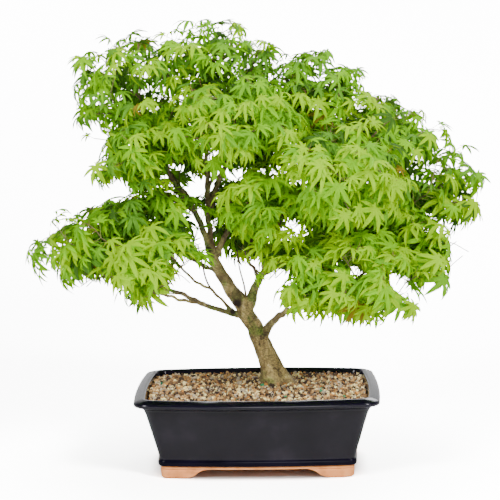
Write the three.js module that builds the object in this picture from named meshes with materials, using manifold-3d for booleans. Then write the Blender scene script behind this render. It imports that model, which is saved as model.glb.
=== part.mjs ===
// A Japanese maple grown as a bonsai in a glazed rectangular pot.
// Millimetres, +Z up, +Y away from the side that is looked at.
// The pot's own centre, on the surface that it stands on, is the zero of every size below.

import * as THREE from 'three';
import { mergeVertices } from 'three/addons/utils/BufferGeometryUtils.js';
import Module from 'manifold-3d';

const wasm = await Module();
wasm.setup();

// Clearance between neighbouring pieces
const GAP = 0.3;

// Pot: a rectangle with rounded corners, whose sides bow out a little past the sizes given here
const RIM_WIDTH = 305;
const RIM_DEPTH = 235;
const RIM_TOP = 104;
const RIM_BREADTH = 14.6;
const LIP_DROP = 8;
const LONG_SIDE_BOW = 10;
const SHORT_SIDE_BOW = 3.5;
const CORNER_RADIUS = 9;
const CORNER_GROWTH = 0.4;
const BASE_BOW_SHARE = 0.55;
const BASE_WIDTH = 245;
const BASE_DEPTH = 176;
const WALL_BOTTOM = 16;
const WALL_THICKNESS = 9;
const BAND_HEIGHT = 9;
const BAND_SWELL = 2.2;
const BAND_ROUNDING = 0.6;
const STRIP_SET_IN = 1.2;
const FLOOR_TOP = 24;
const FOOT_HEIGHT = 12;
const FOOT_LENGTH = 30;
const FOOT_BREADTH = 35;
const FOOT_RAMP = 27;
// The ramp rises in an S: how far along it, and how high, as shares
const FOOT_CURVE = [[0, -0.1], [0, 0], [0.18, 0.15], [0.44, 0.36], [0.59, 0.66], [0.76, 0.88], [1, 1], [1, 1.1]];
const FOOT_EDGE_RADIUS = 3.5;
const FOOT_EDGE_STEPS = 3;
const FOOT_SET_IN = 2;
const FOOT_SET_BACK = 0.6;
const FOOT_TAPER = 0.5;
const DRAIN_DIAMETER = 24;
const DRAIN_SPACING = 120;
const DRAIN_EDGES = 12;
const SOIL_TOP = 98;
const SOIL_CLEARANCE = 0.8;

// How many straight edges follow each corner and each side of the pot
const CORNER_EDGES = 3;
const LONG_SIDE_EDGES = 6;
const SHORT_SIDE_EDGES = 4;

// Trunk: [x, y, height, radius], from the ground up to the fork
const TRUNK = [
  [25, 37, SOIL_TOP + GAP, 18],
  [20, 37, 113, 14.8],
  [10, 35, 140, 12.6],
  [-4, 31, 171, 10.6],
  [-18, 27, 201, 10.6],
  [-37, 21, 230, 8.4],
  [-51, 14, 255, 7.2],
  [-58, 10, 277, 6.2],
];
const TRUNK_SIDES = 10;
const ROOT_FLARE = 9;
const ROOT_FLARE_HEIGHT = 9;
// Directions of the surface roots round the foot, in degrees from +X
const ROOT_RIDGES = [-15, 75, 170, 255];
const ROOT_RIDGE_SPREAD = 26;
const ROOT_ROUND_SHARE = 0.25;

const LIMB_SIDES = 6;
const RINGS_PER_SPAN = 2;

// Boughs: the limb that each grows from, how far along it, the points it passes, and its two radii
const BOUGHS = {
  low_left: ['trunk', 0.50, [[-58, 5, 203], [-98, -14, 225]], [-150, -24, 241], 3.7, 2.2],
  low_left_front: ['low_left', 0.42, [[-100, -42, 222]], [-122, -64, 232], 2.3, 1.7],
  inner_left: ['low_left', 0.13, [[-56, 4, 224], [-80, -12, 241]], [-104, -16, 268], 2.1, 1.6],
  left_back: ['trunk', 0.80, [[-72, 40, 254]], [-113, 66, 276], 2.4, 1.8],
  right_mid: ['trunk', 0.54, [[4, 12, 240], [12, 5, 250]], [52, -22, 262], 5.4, 2.6],
  right_mid_up: ['right_mid', 0.45, [[14, -8, 270]], [30, -38, 316], 2.6, 1.9],
  right_mid_back: ['right_mid', 0.32, [[-10, 34, 262]], [-6, 78, 296], 2.4, 1.8],
  right_long: ['right_mid', 0.62, [[62, 14, 272], [120, 22, 296]], [176, 12, 322], 3.4, 2.0],
  right_back: ['right_long', 0.30, [[84, 48, 276]], [112, 84, 288], 2.4, 1.7],
  low_right: ['trunk', 0.36, [[27, 8, 190], [56, -10, 203]], [108, -38, 222], 5.3, 2.4],
  low_right_far: ['low_right', 0.60, [[112, 2, 226], [150, 0, 238]], [180, -8, 250], 2.6, 1.8],
  leader_left: ['trunk', 0.97, [[-76, -2, 324], [-107, -12, 374]], [-126, -14, 430], 4.4, 2.6],
  upper_left: ['leader_left', 0.42, [[-112, -24, 364]], [-142, -34, 386], 2.5, 1.8],
  upper_left_back: ['leader_left', 0.28, [[-92, 34, 352]], [-122, 74, 384], 2.5, 1.8],
  leader_centre: ['trunk', 1.0, [[-61, 10, 323], [-63, 9, 372]], [-58, 4, 452], 4.2, 2.4],
  crown_back: ['leader_centre', 0.40, [[-46, 52, 372]], [-24, 92, 410], 2.6, 1.8],
  top_right: ['leader_centre', 0.36, [[-38, 22, 385], [-4, 14, 424]], [36, 2, 452], 3.4, 2.2],
  crown_front: ['leader_centre', 0.52, [[-46, -30, 396]], [-30, -66, 410], 2.4, 1.7],
  right_upper: ['trunk', 0.93, [[-16, -12, 333], [50, -14, 376]], [120, -16, 408], 3.8, 2.2],
  right_upper_front: ['right_upper', 0.42, [[34, -48, 366]], [72, -78, 380], 2.3, 1.7],
  right_upper_back: ['right_upper', 0.55, [[74, 34, 388]], [104, 78, 402], 2.3, 1.7],
};

// Foliage masses: the bough that carries each, its middle, and how far it reaches sideways
const MASSES = {
  low_left_tip: ['low_left', [-206, -20, 286], 86],
  low_left_front: ['low_left_front', [-128, -88, 268], 76],
  low_left_top: ['inner_left', [-128, -26, 314], 82],
  low_left_back: ['left_back', [-150, 96, 288], 90],
  centre_low: ['right_mid', [72, -66, 260], 85],
  centre_middle: ['right_mid_up', [36, -84, 344], 82],
  back_low: ['right_mid_back', [-12, 122, 312], 92],
  right_far: ['right_long', [208, 8, 358], 94],
  right_back: ['right_back', [140, 118, 304], 98],
  low_right_front: ['low_right', [136, -80, 256], 88],
  low_right_far: ['low_right_far', [202, -30, 276], 86],
  top_left: ['leader_left', [-150, -12, 488], 100],
  upper_left: ['upper_left', [-142, -54, 408], 78],
  upper_left_back: ['upper_left_back', [-122, 108, 402], 94],
  top: ['leader_centre', [-48, -8, 505], 96],
  crown_back: ['crown_back', [-12, 128, 432], 100],
  top_right: ['top_right', [56, 0, 474], 98],
  crown_front: ['crown_front', [-22, -106, 446], 88],
  right_upper: ['right_upper', [150, 0, 416], 99],
  right_front: ['right_upper_front', [104, -120, 384], 98],
  right_upper_back: ['right_upper_back', [128, 126, 404], 98],
};
// The masses are flatter than they are wide by this much
const FLATNESS = 1.35;
// A leaf or twig may pass its mass's reach by this share, and keeps this far from the next mass
const OVERREACH = 1.08;
const NEIGHBOUR_CLEARANCE = 0.6;

// Twigs
const TWIG_SIDES = 3;
const TWIG_TIP_RADIUS = 2;
const TWIG_THICKENING = 0.16;
const STEM_STRAIGHT = 10;
const STEM_REACH = 0.8;
const TWIGS_PER_MASS = 6;
const TWIG_ZONE = [0.2, 0.62];
const TWIG_CHOICES = 40;
const TWIG_EDGE = 9;
const TWIG_ARCH = 0.06;
const PATH_WEIGHT = 0.4;

// Leaves: five pointed lobes round the foot of the blade, and the stalk behind it
const LEAF_LENGTH = 56;
const LEAF_THICKNESS = 3.6;
const LEAF_DROOP = 0.2;
const STALK_SHARE = 0.36;
const STALK_SUNK = 0.9;
const STALK_SPACING = 3.5;
const LOBES = [[0, 1], [48, 0.9], [98, 0.58]];
const NOTCHES = [[24, 0.42], [72, 0.35], [150, 0.12]];
const PAIR_TURN = 70;
// How much a blade faces up and away from the crown's middle, and how far chance turns it
const LEAF_UP = 0.8;
const LEAF_OUT = 0.9;
const LEAF_HEAD_OUT = 0.6;
const LEAF_TILT = 1.5;
const LEAF_SWING = 150;
const LEAF_TRIES = 20;
const LEAF_CROSSING = 0.3;
const TWIG_CROSSING = 2;
const JOIN_TOLERANCE = 0.08;
const FIRST_SEED = 1000;
const SEED_STEP = 77;
const CROWN_AXIS = [0, 0];
const CROWN_RADIUS = 250;

const GLAZE = { color: 0x14182a, roughness: 0.25, metalness: 0 };
const TERRACOTTA = { color: 0xdc9e7d, roughness: 0.9, metalness: 0 };
const GRIT = { color: 0xb49a7e, roughness: 1, metalness: 0 };
const BARK = { color: 0x75694a, roughness: 0.9, metalness: 0 };
const LEAF_GREEN = { color: 0x5c9e22, roughness: 0.6, metalness: 0 };

const vector = (point) => new THREE.Vector3(point[0], point[1], point[2]);
const radians = THREE.MathUtils.degToRad;

// Random numbers that come out the same every time for one seed
function seeded(seed) {
  let state = seed;
  return () => {
    state = (state * 1664525 + 1013904223) % 4294967296;
    return state / 4294967296;
  };
}

// A closed skin over a stack of rings that all have the same number of points
function skin(rings, closedLoop) {
  const count = rings[0].length;
  const positions = rings.flat().flatMap((p) => [p.x, p.y, p.z]);
  const faces = [];
  const last = closedLoop ? rings.length : rings.length - 1;
  for (let level = 0; level < last; level += 1) {
    const here = level * count;
    const above = ((level + 1) % rings.length) * count;
    for (let i = 0; i < count; i += 1) {
      const j = (i + 1) % count;
      faces.push(here + i, here + j, above + j, here + i, above + j, above + i);
    }
  }
  if (!closedLoop) {
    const top = (rings.length - 1) * count;
    for (let i = 1; i < count - 1; i += 1) {
      faces.push(0, i + 1, i);
      faces.push(top, top + i, top + i + 1);
    }
  }
  const geometry = new THREE.BufferGeometry();
  geometry.setAttribute('position', new THREE.Float32BufferAttribute(positions, 3));
  geometry.setIndex(faces);
  return geometry;
}

function solidOf(geometry) {
  const bare = geometry.clone();
  bare.deleteAttribute('normal');
  bare.deleteAttribute('uv');
  const merged = mergeVertices(bare, 1e-4);
  const mesh = new wasm.Mesh({
    numProp: 3,
    vertProperties: new Float32Array(merged.attributes.position.array),
    triVerts: new Uint32Array(merged.index.array),
  });
  return new wasm.Manifold(mesh);
}

function geometryOf(solid) {
  const mesh = solid.getMesh();
  const geometry = new THREE.BufferGeometry();
  geometry.setAttribute('position', new THREE.Float32BufferAttribute(mesh.vertProperties, 3));
  geometry.setIndex(Array.from(mesh.triVerts));
  geometry.computeVertexNormals();
  return geometry;
}

// The largest closed body of a join: loose scraps and sealed hollows are left behind
function mainBody(solid) {
  const bodies = solid.decompose();
  bodies.sort((a, b) => b.volume() - a.volume());
  return bodies[0];
}

const tree = new THREE.Group();

function addPiece(name, geometry, look) {
  const mesh = new THREE.Mesh(geometry, new THREE.MeshStandardMaterial(look));
  mesh.name = name;
  tree.add(mesh);
}

// The pot's outline at one height: half sizes, corner radius and how full the bow is
function potOutline(halfWidth, halfDepth, height, cornerRadius, bowShare) {
  const longBow = LONG_SIDE_BOW * bowShare;
  const shortBow = SHORT_SIDE_BOW * bowShare;
  const cornerX = halfWidth - cornerRadius;
  const cornerY = halfDepth - cornerRadius;
  const points = [];
  for (let quarter = 0; quarter < 4; quarter += 1) {
    const alongShort = quarter % 2 === 0;
    const turn = radians(90 * quarter);
    const sx = quarter === 0 || quarter === 3 ? 1 : -1;
    const sy = quarter < 2 ? 1 : -1;
    for (let i = 0; i <= CORNER_EDGES; i += 1) {
      const angle = turn + (Math.PI / 2) * (i / CORNER_EDGES);
      const x = sx * cornerX + cornerRadius * Math.cos(angle);
      const y = sy * cornerY + cornerRadius * Math.sin(angle);
      points.push(new THREE.Vector3(x, y, height));
    }
    const edges = alongShort ? LONG_SIDE_EDGES : SHORT_SIDE_EDGES;
    for (let i = 1; i < edges; i += 1) {
      const t = 1 - (2 * i) / edges;
      const swell = 1 - t * t;
      if (alongShort) {
        const y = sy * (cornerY + cornerRadius + longBow * swell);
        points.push(new THREE.Vector3(sx * cornerX * t, y, height));
      } else {
        const x = sx * (cornerX + cornerRadius + shortBow * swell);
        points.push(new THREE.Vector3(x, sy * cornerY * t, height));
      }
    }
  }
  return points;
}

// How far the glazed wall stands out from the pot's base at a height
const FLARE = (RIM_WIDTH - BASE_WIDTH) / 2;
const WALL_PROFILE = [
  [WALL_BOTTOM + GAP, -STRIP_SET_IN],
  [WALL_BOTTOM + 2, BAND_SWELL - BAND_ROUNDING],
  [WALL_BOTTOM + BAND_HEIGHT / 2, BAND_SWELL],
  [WALL_BOTTOM + BAND_HEIGHT - 1, BAND_SWELL - BAND_ROUNDING],
  [WALL_BOTTOM + BAND_HEIGHT, 0],
  [60, 9.5],
  [82, 15.5],
  [91, 19.5],
  [RIM_TOP - LIP_DROP - 1, FLARE - 7],
  [RIM_TOP - LIP_DROP, FLARE - 1.2],
  [RIM_TOP - LIP_DROP / 2, FLARE],
  [RIM_TOP - 0.8, FLARE - 1],
  [RIM_TOP, FLARE - 3.5],
];

function potRing(height, outset) {
  const bowShare = THREE.MathUtils.lerp(BASE_BOW_SHARE, 1, height / RIM_TOP);
  const corner = CORNER_RADIUS + outset * CORNER_GROWTH;
  return potOutline(BASE_WIDTH / 2 + outset, BASE_DEPTH / 2 + outset, height, corner, bowShare);
}

function wallOutset(height) {
  for (let i = 1; i < WALL_PROFILE.length; i += 1) {
    const [lowHeight, lowOut] = WALL_PROFILE[i - 1];
    const [highHeight, highOut] = WALL_PROFILE[i];
    if (height <= highHeight) {
      const t = (height - lowHeight) / (highHeight - lowHeight);
      return lowOut + (highOut - lowOut) * t;
    }
  }
  return FLARE;
}

// The inner face of the wall, from the lip down to the floor
const INNER_PROFILE = [
  [RIM_TOP, FLARE - RIM_BREADTH + 2],
  [RIM_TOP - 2, FLARE - RIM_BREADTH],
  [84, wallOutset(84) - WALL_THICKNESS],
  [WALL_BOTTOM + GAP, -WALL_THICKNESS],
];

function innerOutset(height) {
  for (let i = 1; i < INNER_PROFILE.length; i += 1) {
    const [highHeight, highOut] = INNER_PROFILE[i - 1];
    const [lowHeight, lowOut] = INNER_PROFILE[i];
    if (height >= lowHeight) {
      const t = (height - lowHeight) / (highHeight - lowHeight);
      return lowOut + (highOut - lowOut) * t;
    }
  }
  return -WALL_THICKNESS;
}

function makePotBody() {
  const outside = WALL_PROFILE.map(([height, outset]) => potRing(height, outset));
  const inside = INNER_PROFILE.map(([height, outset]) => potRing(height, outset));
  addPiece('pot_body', skin([...outside, ...inside], true), GLAZE);
}

// The unglazed bottom: a plate whose rim shows as a strip, with two drain holes
function makePotFloor() {
  const plate = skin([
    potRing(FOOT_HEIGHT + GAP, -FOOT_SET_BACK),
    potRing(WALL_BOTTOM, -STRIP_SET_IN),
    potRing(WALL_BOTTOM, -WALL_THICKNESS - GAP),
    potRing(FLOOR_TOP, innerOutset(FLOOR_TOP) - GAP),
  ], false);
  let solid = solidOf(plate);
  for (const side of [-1, 1]) {
    const radius = DRAIN_DIAMETER / 2;
    const hole = new THREE.CylinderGeometry(radius, radius, 3 * FLOOR_TOP, DRAIN_EDGES);
    hole.rotateX(Math.PI / 2);
    hole.translate((side * DRAIN_SPACING) / 2, 0, 0);
    solid = solid.subtract(solidOf(hole));
  }
  addPiece('pot_floor', geometryOf(solid), TERRACOTTA);
}

// Four corner feet with a rounded lower edge, each with a ramp along the front and along the side
function makeFeet() {
  const rings = [];
  for (let i = 0; i <= FOOT_EDGE_STEPS; i += 1) {
    const angle = (Math.PI / 2) * (i / FOOT_EDGE_STEPS);
    const inset = FOOT_EDGE_RADIUS * (1 - Math.sin(angle));
    rings.push(potRing(FOOT_EDGE_RADIUS * (1 - Math.cos(angle)), -FOOT_SET_BACK - FOOT_TAPER - inset));
  }
  rings.push(potRing(FOOT_HEIGHT, -FOOT_SET_BACK));
  const slab = solidOf(skin(rings, false));
  const far = RIM_WIDTH;
  for (const [depthWord, sy] of [['front', -1], ['back', 1]]) {
    for (const [sideWord, sx] of [['left', -1], ['right', 1]]) {
      const innerX = BASE_WIDTH / 2 - FOOT_SET_IN - FOOT_LENGTH;
      const innerY = BASE_DEPTH / 2 - FOOT_SET_IN - FOOT_BREADTH;
      const corner = (inX, inY, height) => [
        new THREE.Vector3(Math.min(sx * inX, sx * far), Math.min(sy * inY, sy * far), height),
        new THREE.Vector3(Math.max(sx * inX, sx * far), Math.min(sy * inY, sy * far), height),
        new THREE.Vector3(Math.max(sx * inX, sx * far), Math.max(sy * inY, sy * far), height),
        new THREE.Vector3(Math.min(sx * inX, sx * far), Math.max(sy * inY, sy * far), height),
      ];
      const wedge = skin(FOOT_CURVE.map(([along, up]) => (
        corner(innerX - along * FOOT_RAMP, innerY - (along * FOOT_RAMP) / 2, up * FOOT_HEIGHT)
      )), false);
      const foot = slab.intersect(solidOf(wedge));
      addPiece(`foot_${depthWord}_${sideWord}`, geometryOf(foot), TERRACOTTA);
    }
  }
}

function makeSoil() {
  const levels = [FLOOR_TOP + GAP, 50, 84, SOIL_TOP];
  const rings = levels.map((height) => potRing(height, innerOutset(height) - SOIL_CLEARANCE));
  addPiece('soil', skin(rings, false), GRIT);
}

// One ring of a limb, square to the way that the limb runs
function limbRing(centre, along, radius, sides, shape) {
  const forward = along.clone().normalize();
  const side = new THREE.Vector3(0, 1, 0).cross(forward).normalize();
  const up = forward.clone().cross(side);
  const ring = [];
  for (let i = 0; i < sides; i += 1) {
    const angle = (2 * Math.PI * i) / sides;
    const reach = shape ? shape(angle) : radius;
    const point = centre.clone();
    point.addScaledVector(side, reach * Math.cos(angle));
    point.addScaledVector(up, reach * Math.sin(angle));
    ring.push(point);
  }
  return ring;
}

// A limb is a smooth curve with a radius all along it
function limbCurve(points, radii) {
  const curve = new THREE.CatmullRomCurve3(points.map(vector), false, 'centripetal');
  const spans = points.length - 1;
  const radiusAt = (t) => {
    const place = Math.min(t * spans, spans - 1e-6);
    const i = Math.floor(place);
    return radii[i] + (radii[i + 1] - radii[i]) * (place - i);
  };
  return { curve, radiusAt, steps: spans * RINGS_PER_SPAN };
}

// The limb's solid, made fatter by a clearance when it cuts its neighbours
function limbSolid(limb, sides, extra) {
  const rings = [];
  for (let i = 0; i <= limb.steps; i += 1) {
    const t = i / limb.steps;
    const radius = limb.radiusAt(t) + extra;
    rings.push(limbRing(limb.curve.getPoint(t), limb.curve.getTangent(t), radius, sides));
  }
  return solidOf(skin(rings, false));
}

// The share of the root flare that stands out in one direction round the foot
function ridgeShare(angle) {
  let share = ROOT_ROUND_SHARE;
  for (const direction of ROOT_RIDGES) {
    const apart = Math.abs(THREE.MathUtils.euclideanModulo(
      THREE.MathUtils.radToDeg(angle) - direction + 180, 360) - 180);
    share += Math.exp(-((apart / ROOT_RIDGE_SPREAD) ** 2));
  }
  return Math.min(share, 1);
}

// The trunk starts as level rings, so that its foot is a flat cut at ground level
function trunkSolid(limb, extra) {
  const rings = [];
  for (let i = 0; i <= limb.steps; i += 1) {
    const t = i / limb.steps;
    const centre = limb.curve.getPoint(t);
    const rise = centre.z - SOIL_TOP - GAP;
    const level = Math.max(0, 1 - rise / (3 * ROOT_FLARE_HEIGHT));
    const along = limb.curve.getTangent(t).lerp(new THREE.Vector3(0, 0, 1), level);
    const flare = ROOT_FLARE * Math.exp(-rise / ROOT_FLARE_HEIGHT);
    const radius = limb.radiusAt(t) + extra;
    const shape = (angle) => radius + flare * ridgeShare(angle - Math.PI / 2);
    rings.push(limbRing(centre, along, radius, TRUNK_SIDES, shape));
  }
  return solidOf(skin(rings, false));
}

const limbs = {};
limbs.trunk = limbCurve(TRUNK.map((p) => p.slice(0, 3)), TRUNK.map((p) => p[3]));

function makeTrunk() {
  addPiece('trunk', geometryOf(trunkSolid(limbs.trunk, 0)), BARK);
}

// Each bough starts inside its parent and is cut to meet it with the usual clearance
function makeBoughs() {
  for (const [name, [parent, share, via, tip, startRadius, tipRadius]] of Object.entries(BOUGHS)) {
    const start = limbs[parent].curve.getPoint(share);
    const points = [[start.x, start.y, start.z], ...via, tip];
    const radii = points.map((p, i) => startRadius + ((tipRadius - startRadius) * i) / (points.length - 1));
    limbs[name] = limbCurve(points, radii);
  }
  for (const name of Object.keys(BOUGHS)) {
    let solid = limbSolid(limbs[name], LIMB_SIDES, 0);
    const earlier = ['trunk', ...Object.keys(BOUGHS)];
    for (const other of earlier.slice(0, earlier.indexOf(name))) {
      const cutter = other === 'trunk'
        ? trunkSolid(limbs.trunk, GAP)
        : limbSolid(limbs[other], LIMB_SIDES, GAP);
      solid = solid.subtract(cutter);
    }
    addPiece(`bough_${name}`, geometryOf(mainBody(solid)), BARK);
  }
}

// All limbs as one solid, a little fatter than they are, which twigs and leaves stay out of
function limbSpace() {
  let space = trunkSolid(limbs.trunk, 2 * GAP);
  for (const name of Object.keys(BOUGHS)) {
    space = space.add(limbSolid(limbs[name], LIMB_SIDES, 2 * GAP));
  }
  return space;
}

// A place measured in a space where every mass is round
function roundSpace(point) {
  return new THREE.Vector3(point.x, point.y, point.z * FLATNESS);
}

// True where a point is within its own mass's reach and on its own side of every neighbour
function inOwnSpace(point, own, spaces, overreach, clearance) {
  const place = roundSpace(point);
  const ownDistance = place.distanceTo(own.round);
  if (ownDistance > own.reach * overreach) return false;
  const ownPower = ownDistance ** 2 - own.reach ** 2;
  return spaces.every((other) => {
    if (other === own) return true;
    const otherPower = place.distanceToSquared(other.round) - other.reach ** 2;
    const apart = 2 * own.round.distanceTo(other.round);
    return (otherPower - ownPower) / apart > clearance * FLATNESS;
  });
}

// The outline of a leaf, hub at zero, tip along +X, face up along +Z
function leafOutline(length) {
  const half = [];
  for (let i = 0; i < LOBES.length; i += 1) {
    half.push(LOBES[i], NOTCHES[i]);
  }
  const points = [];
  const place = (degrees, share) => {
    const drop = -LEAF_DROOP * length * share * share;
    const angle = radians(degrees);
    return new THREE.Vector3(length * share * Math.cos(angle), length * share * Math.sin(angle), drop);
  };
  for (const [degrees, share] of half) points.push(place(degrees, share));
  const stalk = place(180, STALK_SHARE);
  stalk.z = 0;
  points.push(stalk);
  for (const [degrees, share] of half.slice(1).reverse()) points.push(place(-degrees, share));
  return points;
}

const LEAF_POINTS = leafOutline(LEAF_LENGTH);

function leafSolid(points, hub, face) {
  const positions = [];
  for (const p of points) positions.push(p.x, p.y, p.z);
  const top = hub.clone().addScaledVector(face, LEAF_THICKNESS / 2);
  const bottom = hub.clone().addScaledVector(face, -LEAF_THICKNESS / 2);
  positions.push(top.x, top.y, top.z, bottom.x, bottom.y, bottom.z);
  const faces = [];
  for (let i = 0; i < points.length; i += 1) {
    const j = (i + 1) % points.length;
    faces.push(i, j, points.length);
    faces.push(j, i, points.length + 1);
  }
  const geometry = new THREE.BufferGeometry();
  geometry.setAttribute('position', new THREE.Float32BufferAttribute(positions, 3));
  geometry.setIndex(faces);
  return solidOf(geometry);
}

// A place for the next twig's tip: of several in the mass's space, the one with most room round it
function roomiestPlace(own, spaces, tips, random) {
  let best = null;
  let bestRoom = 0;
  for (let i = 0; i < TWIG_CHOICES; i += 1) {
    const level = 2 * random() - 1;
    const turn = 2 * Math.PI * random();
    const ring = Math.sqrt(1 - level * level);
    const reach = own.reach * THREE.MathUtils.lerp(TWIG_ZONE[0], TWIG_ZONE[1], random() ** 0.5);
    const place = own.middle.clone();
    place.x += reach * ring * Math.cos(turn);
    place.y += reach * ring * Math.sin(turn);
    place.z += (reach * level) / FLATNESS;
    if (!inOwnSpace(place, own, spaces, 1, TWIG_EDGE)) continue;
    const room = Math.min(...tips.map((tip) => tip.distanceTo(place)), own.reach);
    if (room > bestRoom) {
      bestRoom = room;
      best = place;
    }
  }
  return best;
}

// Twigs of one mass: a stem from the bough's tip, then each twig from the nearest joint below it
function growTwigs(own, spaces, wood, tips, random) {
  const limb = limbs[own.bough];
  const along = limb.curve.getTangent(1);
  const foot = limb.curve.getPoint(1).addScaledVector(along, GAP);
  const joints = [{ place: foot, parent: -1, path: 0 }];
  const grow = (parent, place) => {
    const path = joints[parent].path + joints[parent].place.distanceTo(place);
    joints.push({ place, parent, path });
    return joints.length - 1;
  };
  const knee = grow(0, foot.clone().addScaledVector(along, STEM_STRAIGHT));
  grow(knee, foot.clone().lerp(own.middle, STEM_REACH));
  const targets = [];
  for (let i = 0; i < TWIGS_PER_MASS; i += 1) {
    const place = roomiestPlace(own, spaces, [...tips, ...targets], random);
    if (place) targets.push(place);
  }
  targets.sort((a, b) => a.distanceTo(foot) - b.distanceTo(foot));
  for (const target of targets) {
    const costs = joints.map((joint) => joint.place.distanceTo(target) + PATH_WEIGHT * joint.path);
    costs[0] = Infinity;
    const nearest = costs.indexOf(Math.min(...costs));
    const from = joints[nearest].place;
    const elbow = from.clone().lerp(target, 0.5);
    elbow.z += from.distanceTo(target) * TWIG_ARCH;
    const radius = 1.5 * TWIG_TIP_RADIUS;
    const twig = twigSolid([from, elbow, target].map((place) => ({ place, radius })));
    if (!twig.intersect(wood).isEmpty()) continue;
    grow(grow(nearest, elbow), target);
    tips.push(target);
  }
  return joints;
}

// Chains of joints from each twig's start to its tip, with the radius at every joint
function twigChains(joints) {
  const load = joints.map(() => 0);
  const children = joints.map(() => []);
  joints.forEach((joint, i) => {
    if (joint.parent >= 0) children[joint.parent].push(i);
  });
  for (let i = joints.length - 1; i >= 0; i -= 1) {
    if (children[i].length === 0) load[i] = 1;
    if (joints[i].parent >= 0) load[joints[i].parent] += load[i];
  }
  const radius = load.map((n) => TWIG_TIP_RADIUS * n ** TWIG_THICKENING);
  const chains = [];
  const follow = (start, first) => {
    const chain = start < 0 ? [] : [start];
    let here = first;
    while (here !== undefined) {
      chain.push(here);
      const next = [...children[here]].sort((a, b) => load[b] - load[a]);
      const from = here;
      next.slice(1).forEach((child) => follow(from, child));
      here = next[0];
    }
    chains.push(chain);
  };
  follow(-1, 0);
  return chains.map((chain) => chain.map((i, k) => {
    const thinner = k === 0 && chain[0] !== 0 ? radius[chain[1]] : radius[i];
    return { place: joints[i].place, radius: thinner };
  }));
}

function twigSolid(chain) {
  const rings = chain.map((joint, i) => {
    const before = chain[Math.max(i - 1, 0)].place;
    const after = chain[Math.min(i + 1, chain.length - 1)].place;
    return limbRing(joint.place, after.clone().sub(before), joint.radius, TWIG_SIDES);
  });
  return solidOf(skin(rings, false));
}

// Where leaves stand on a twig: a pair at each joint past its start, and one more at the tip
function leafSeats(chain) {
  const seats = [];
  for (let i = 1; i < chain.length; i += 1) {
    const along = chain[i].place.clone().sub(chain[i - 1].place).normalize();
    const turns = i === chain.length - 1 ? [0, PAIR_TURN, -PAIR_TURN] : [PAIR_TURN, -PAIR_TURN];
    turns.forEach((turn, k) => {
      const place = chain[i].place.clone().addScaledVector(along, -k * STALK_SPACING);
      seats.push({ place, along, turn });
    });
  }
  return seats;
}

// Tries several ways to set a leaf, and keeps the one that is farthest from the leaves before it
function setLeaf(seat, own, spaces, wood, twigs, blades, middles, random) {
  const outward = new THREE.Vector3(seat.place.x - CROWN_AXIS[0], seat.place.y - CROWN_AXIS[1], 0);
  outward.divideScalar(CROWN_RADIUS);
  let best = null;
  let bestRoom = 0;
  for (let i = 0; i < LEAF_TRIES; i += 1) {
    const face = new THREE.Vector3(0, 0, LEAF_UP).addScaledVector(outward, LEAF_OUT);
    face.x += (random() - 0.5) * LEAF_TILT;
    face.y += (random() - 0.5) * LEAF_TILT;
    face.normalize();
    const spin = radians(seat.turn + (random() - 0.5) * LEAF_SWING * (0.4 + i / LEAF_TRIES));
    const heading = seat.along.clone().addScaledVector(outward, LEAF_HEAD_OUT).applyAxisAngle(face, spin);
    heading.addScaledVector(face, -heading.dot(face)).normalize();
    const side = face.clone().cross(heading);
    const hub = seat.place.clone().addScaledVector(heading, LEAF_LENGTH * STALK_SHARE - STALK_SUNK);
    const points = LEAF_POINTS.map((p) => hub.clone()
      .addScaledVector(heading, p.x).addScaledVector(side, p.y).addScaledVector(face, p.z));
    if (!points.every((p) => inOwnSpace(p, own, spaces, OVERREACH, NEIGHBOUR_CLEARANCE))) continue;
    const middle = hub.clone().lerp(points[0], 0.4);
    const room = Math.min(2 * LEAF_LENGTH, ...middles.map((other) => other.distanceTo(middle)));
    if (room <= bestRoom) continue;
    const solid = leafSolid(points, hub, face);
    if (!solid.intersect(wood).isEmpty()) continue;
    if (blades && solid.intersect(blades).volume() > LEAF_CROSSING) continue;
    if (solid.intersect(twigs).volume() > TWIG_CROSSING) continue;
    bestRoom = room;
    best = { solid, middle };
  }
  return best;
}

function makeMasses() {
  const wood = limbSpace();
  const spaces = Object.entries(MASSES).map(([name, [bough, middle, reach]]) => ({
    name, bough, reach, middle: vector(middle), round: roundSpace(vector(middle)),
  }));
  const tips = [];
  const middles = [];
  spaces.forEach((own, index) => {
    const random = seeded(FIRST_SEED + index * SEED_STEP);
    const joints = growTwigs(own, spaces, wood, tips, random);
    const chains = twigChains(joints);
    let solid = twigSolid(chains[0]);
    for (const chain of chains.slice(1)) solid = solid.add(twigSolid(chain));
    let blades = null;
    for (const chain of chains) {
      for (const seat of leafSeats(chain)) {
        const leaf = setLeaf(seat, own, spaces, wood, solid, blades, middles, random);
        if (!leaf) continue;
        middles.push(leaf.middle);
        blades = blades ? blades.add(leaf.solid) : leaf.solid;
      }
    }
    if (blades) solid = solid.add(blades);
    const joined = mainBody(solid).asOriginal().simplify(JOIN_TOLERANCE);
    addPiece(`foliage_${own.name}`, geometryOf(joined), LEAF_GREEN);
  });
}

makePotBody();
makePotFloor();
makeFeet();
makeSoil();
makeTrunk();
makeBoughs();
makeMasses();

// The whole stands on z = 0 with the middle of its outline over the origin
const extent = new THREE.Box3().setFromObject(tree);
const middle = extent.getCenter(new THREE.Vector3());
tree.position.set(-middle.x, -middle.y, -extent.min.z);
tree.updateMatrixWorld(true);

export default tree;
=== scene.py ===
# %% [markdown]
# # A Japanese maple bonsai in a glazed pot
#
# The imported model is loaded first, as a frame that nothing here moves. It holds the pot, the soil, the
# trunk, the boughs and one plain solid for each mass of foliage, all at their real size. This lesson
# dresses it: the pot gets its glaze, the soil its grit, the limbs their bark, and each mass is grown
# again with real twigs and leaves. Everything is in metres, in the model's own frame.

# %% Load the frame
import math

import bmesh
import bpy
import numpy as np
from mathutils import Matrix, Vector, noise
from mathutils.kdtree import KDTree


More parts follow.
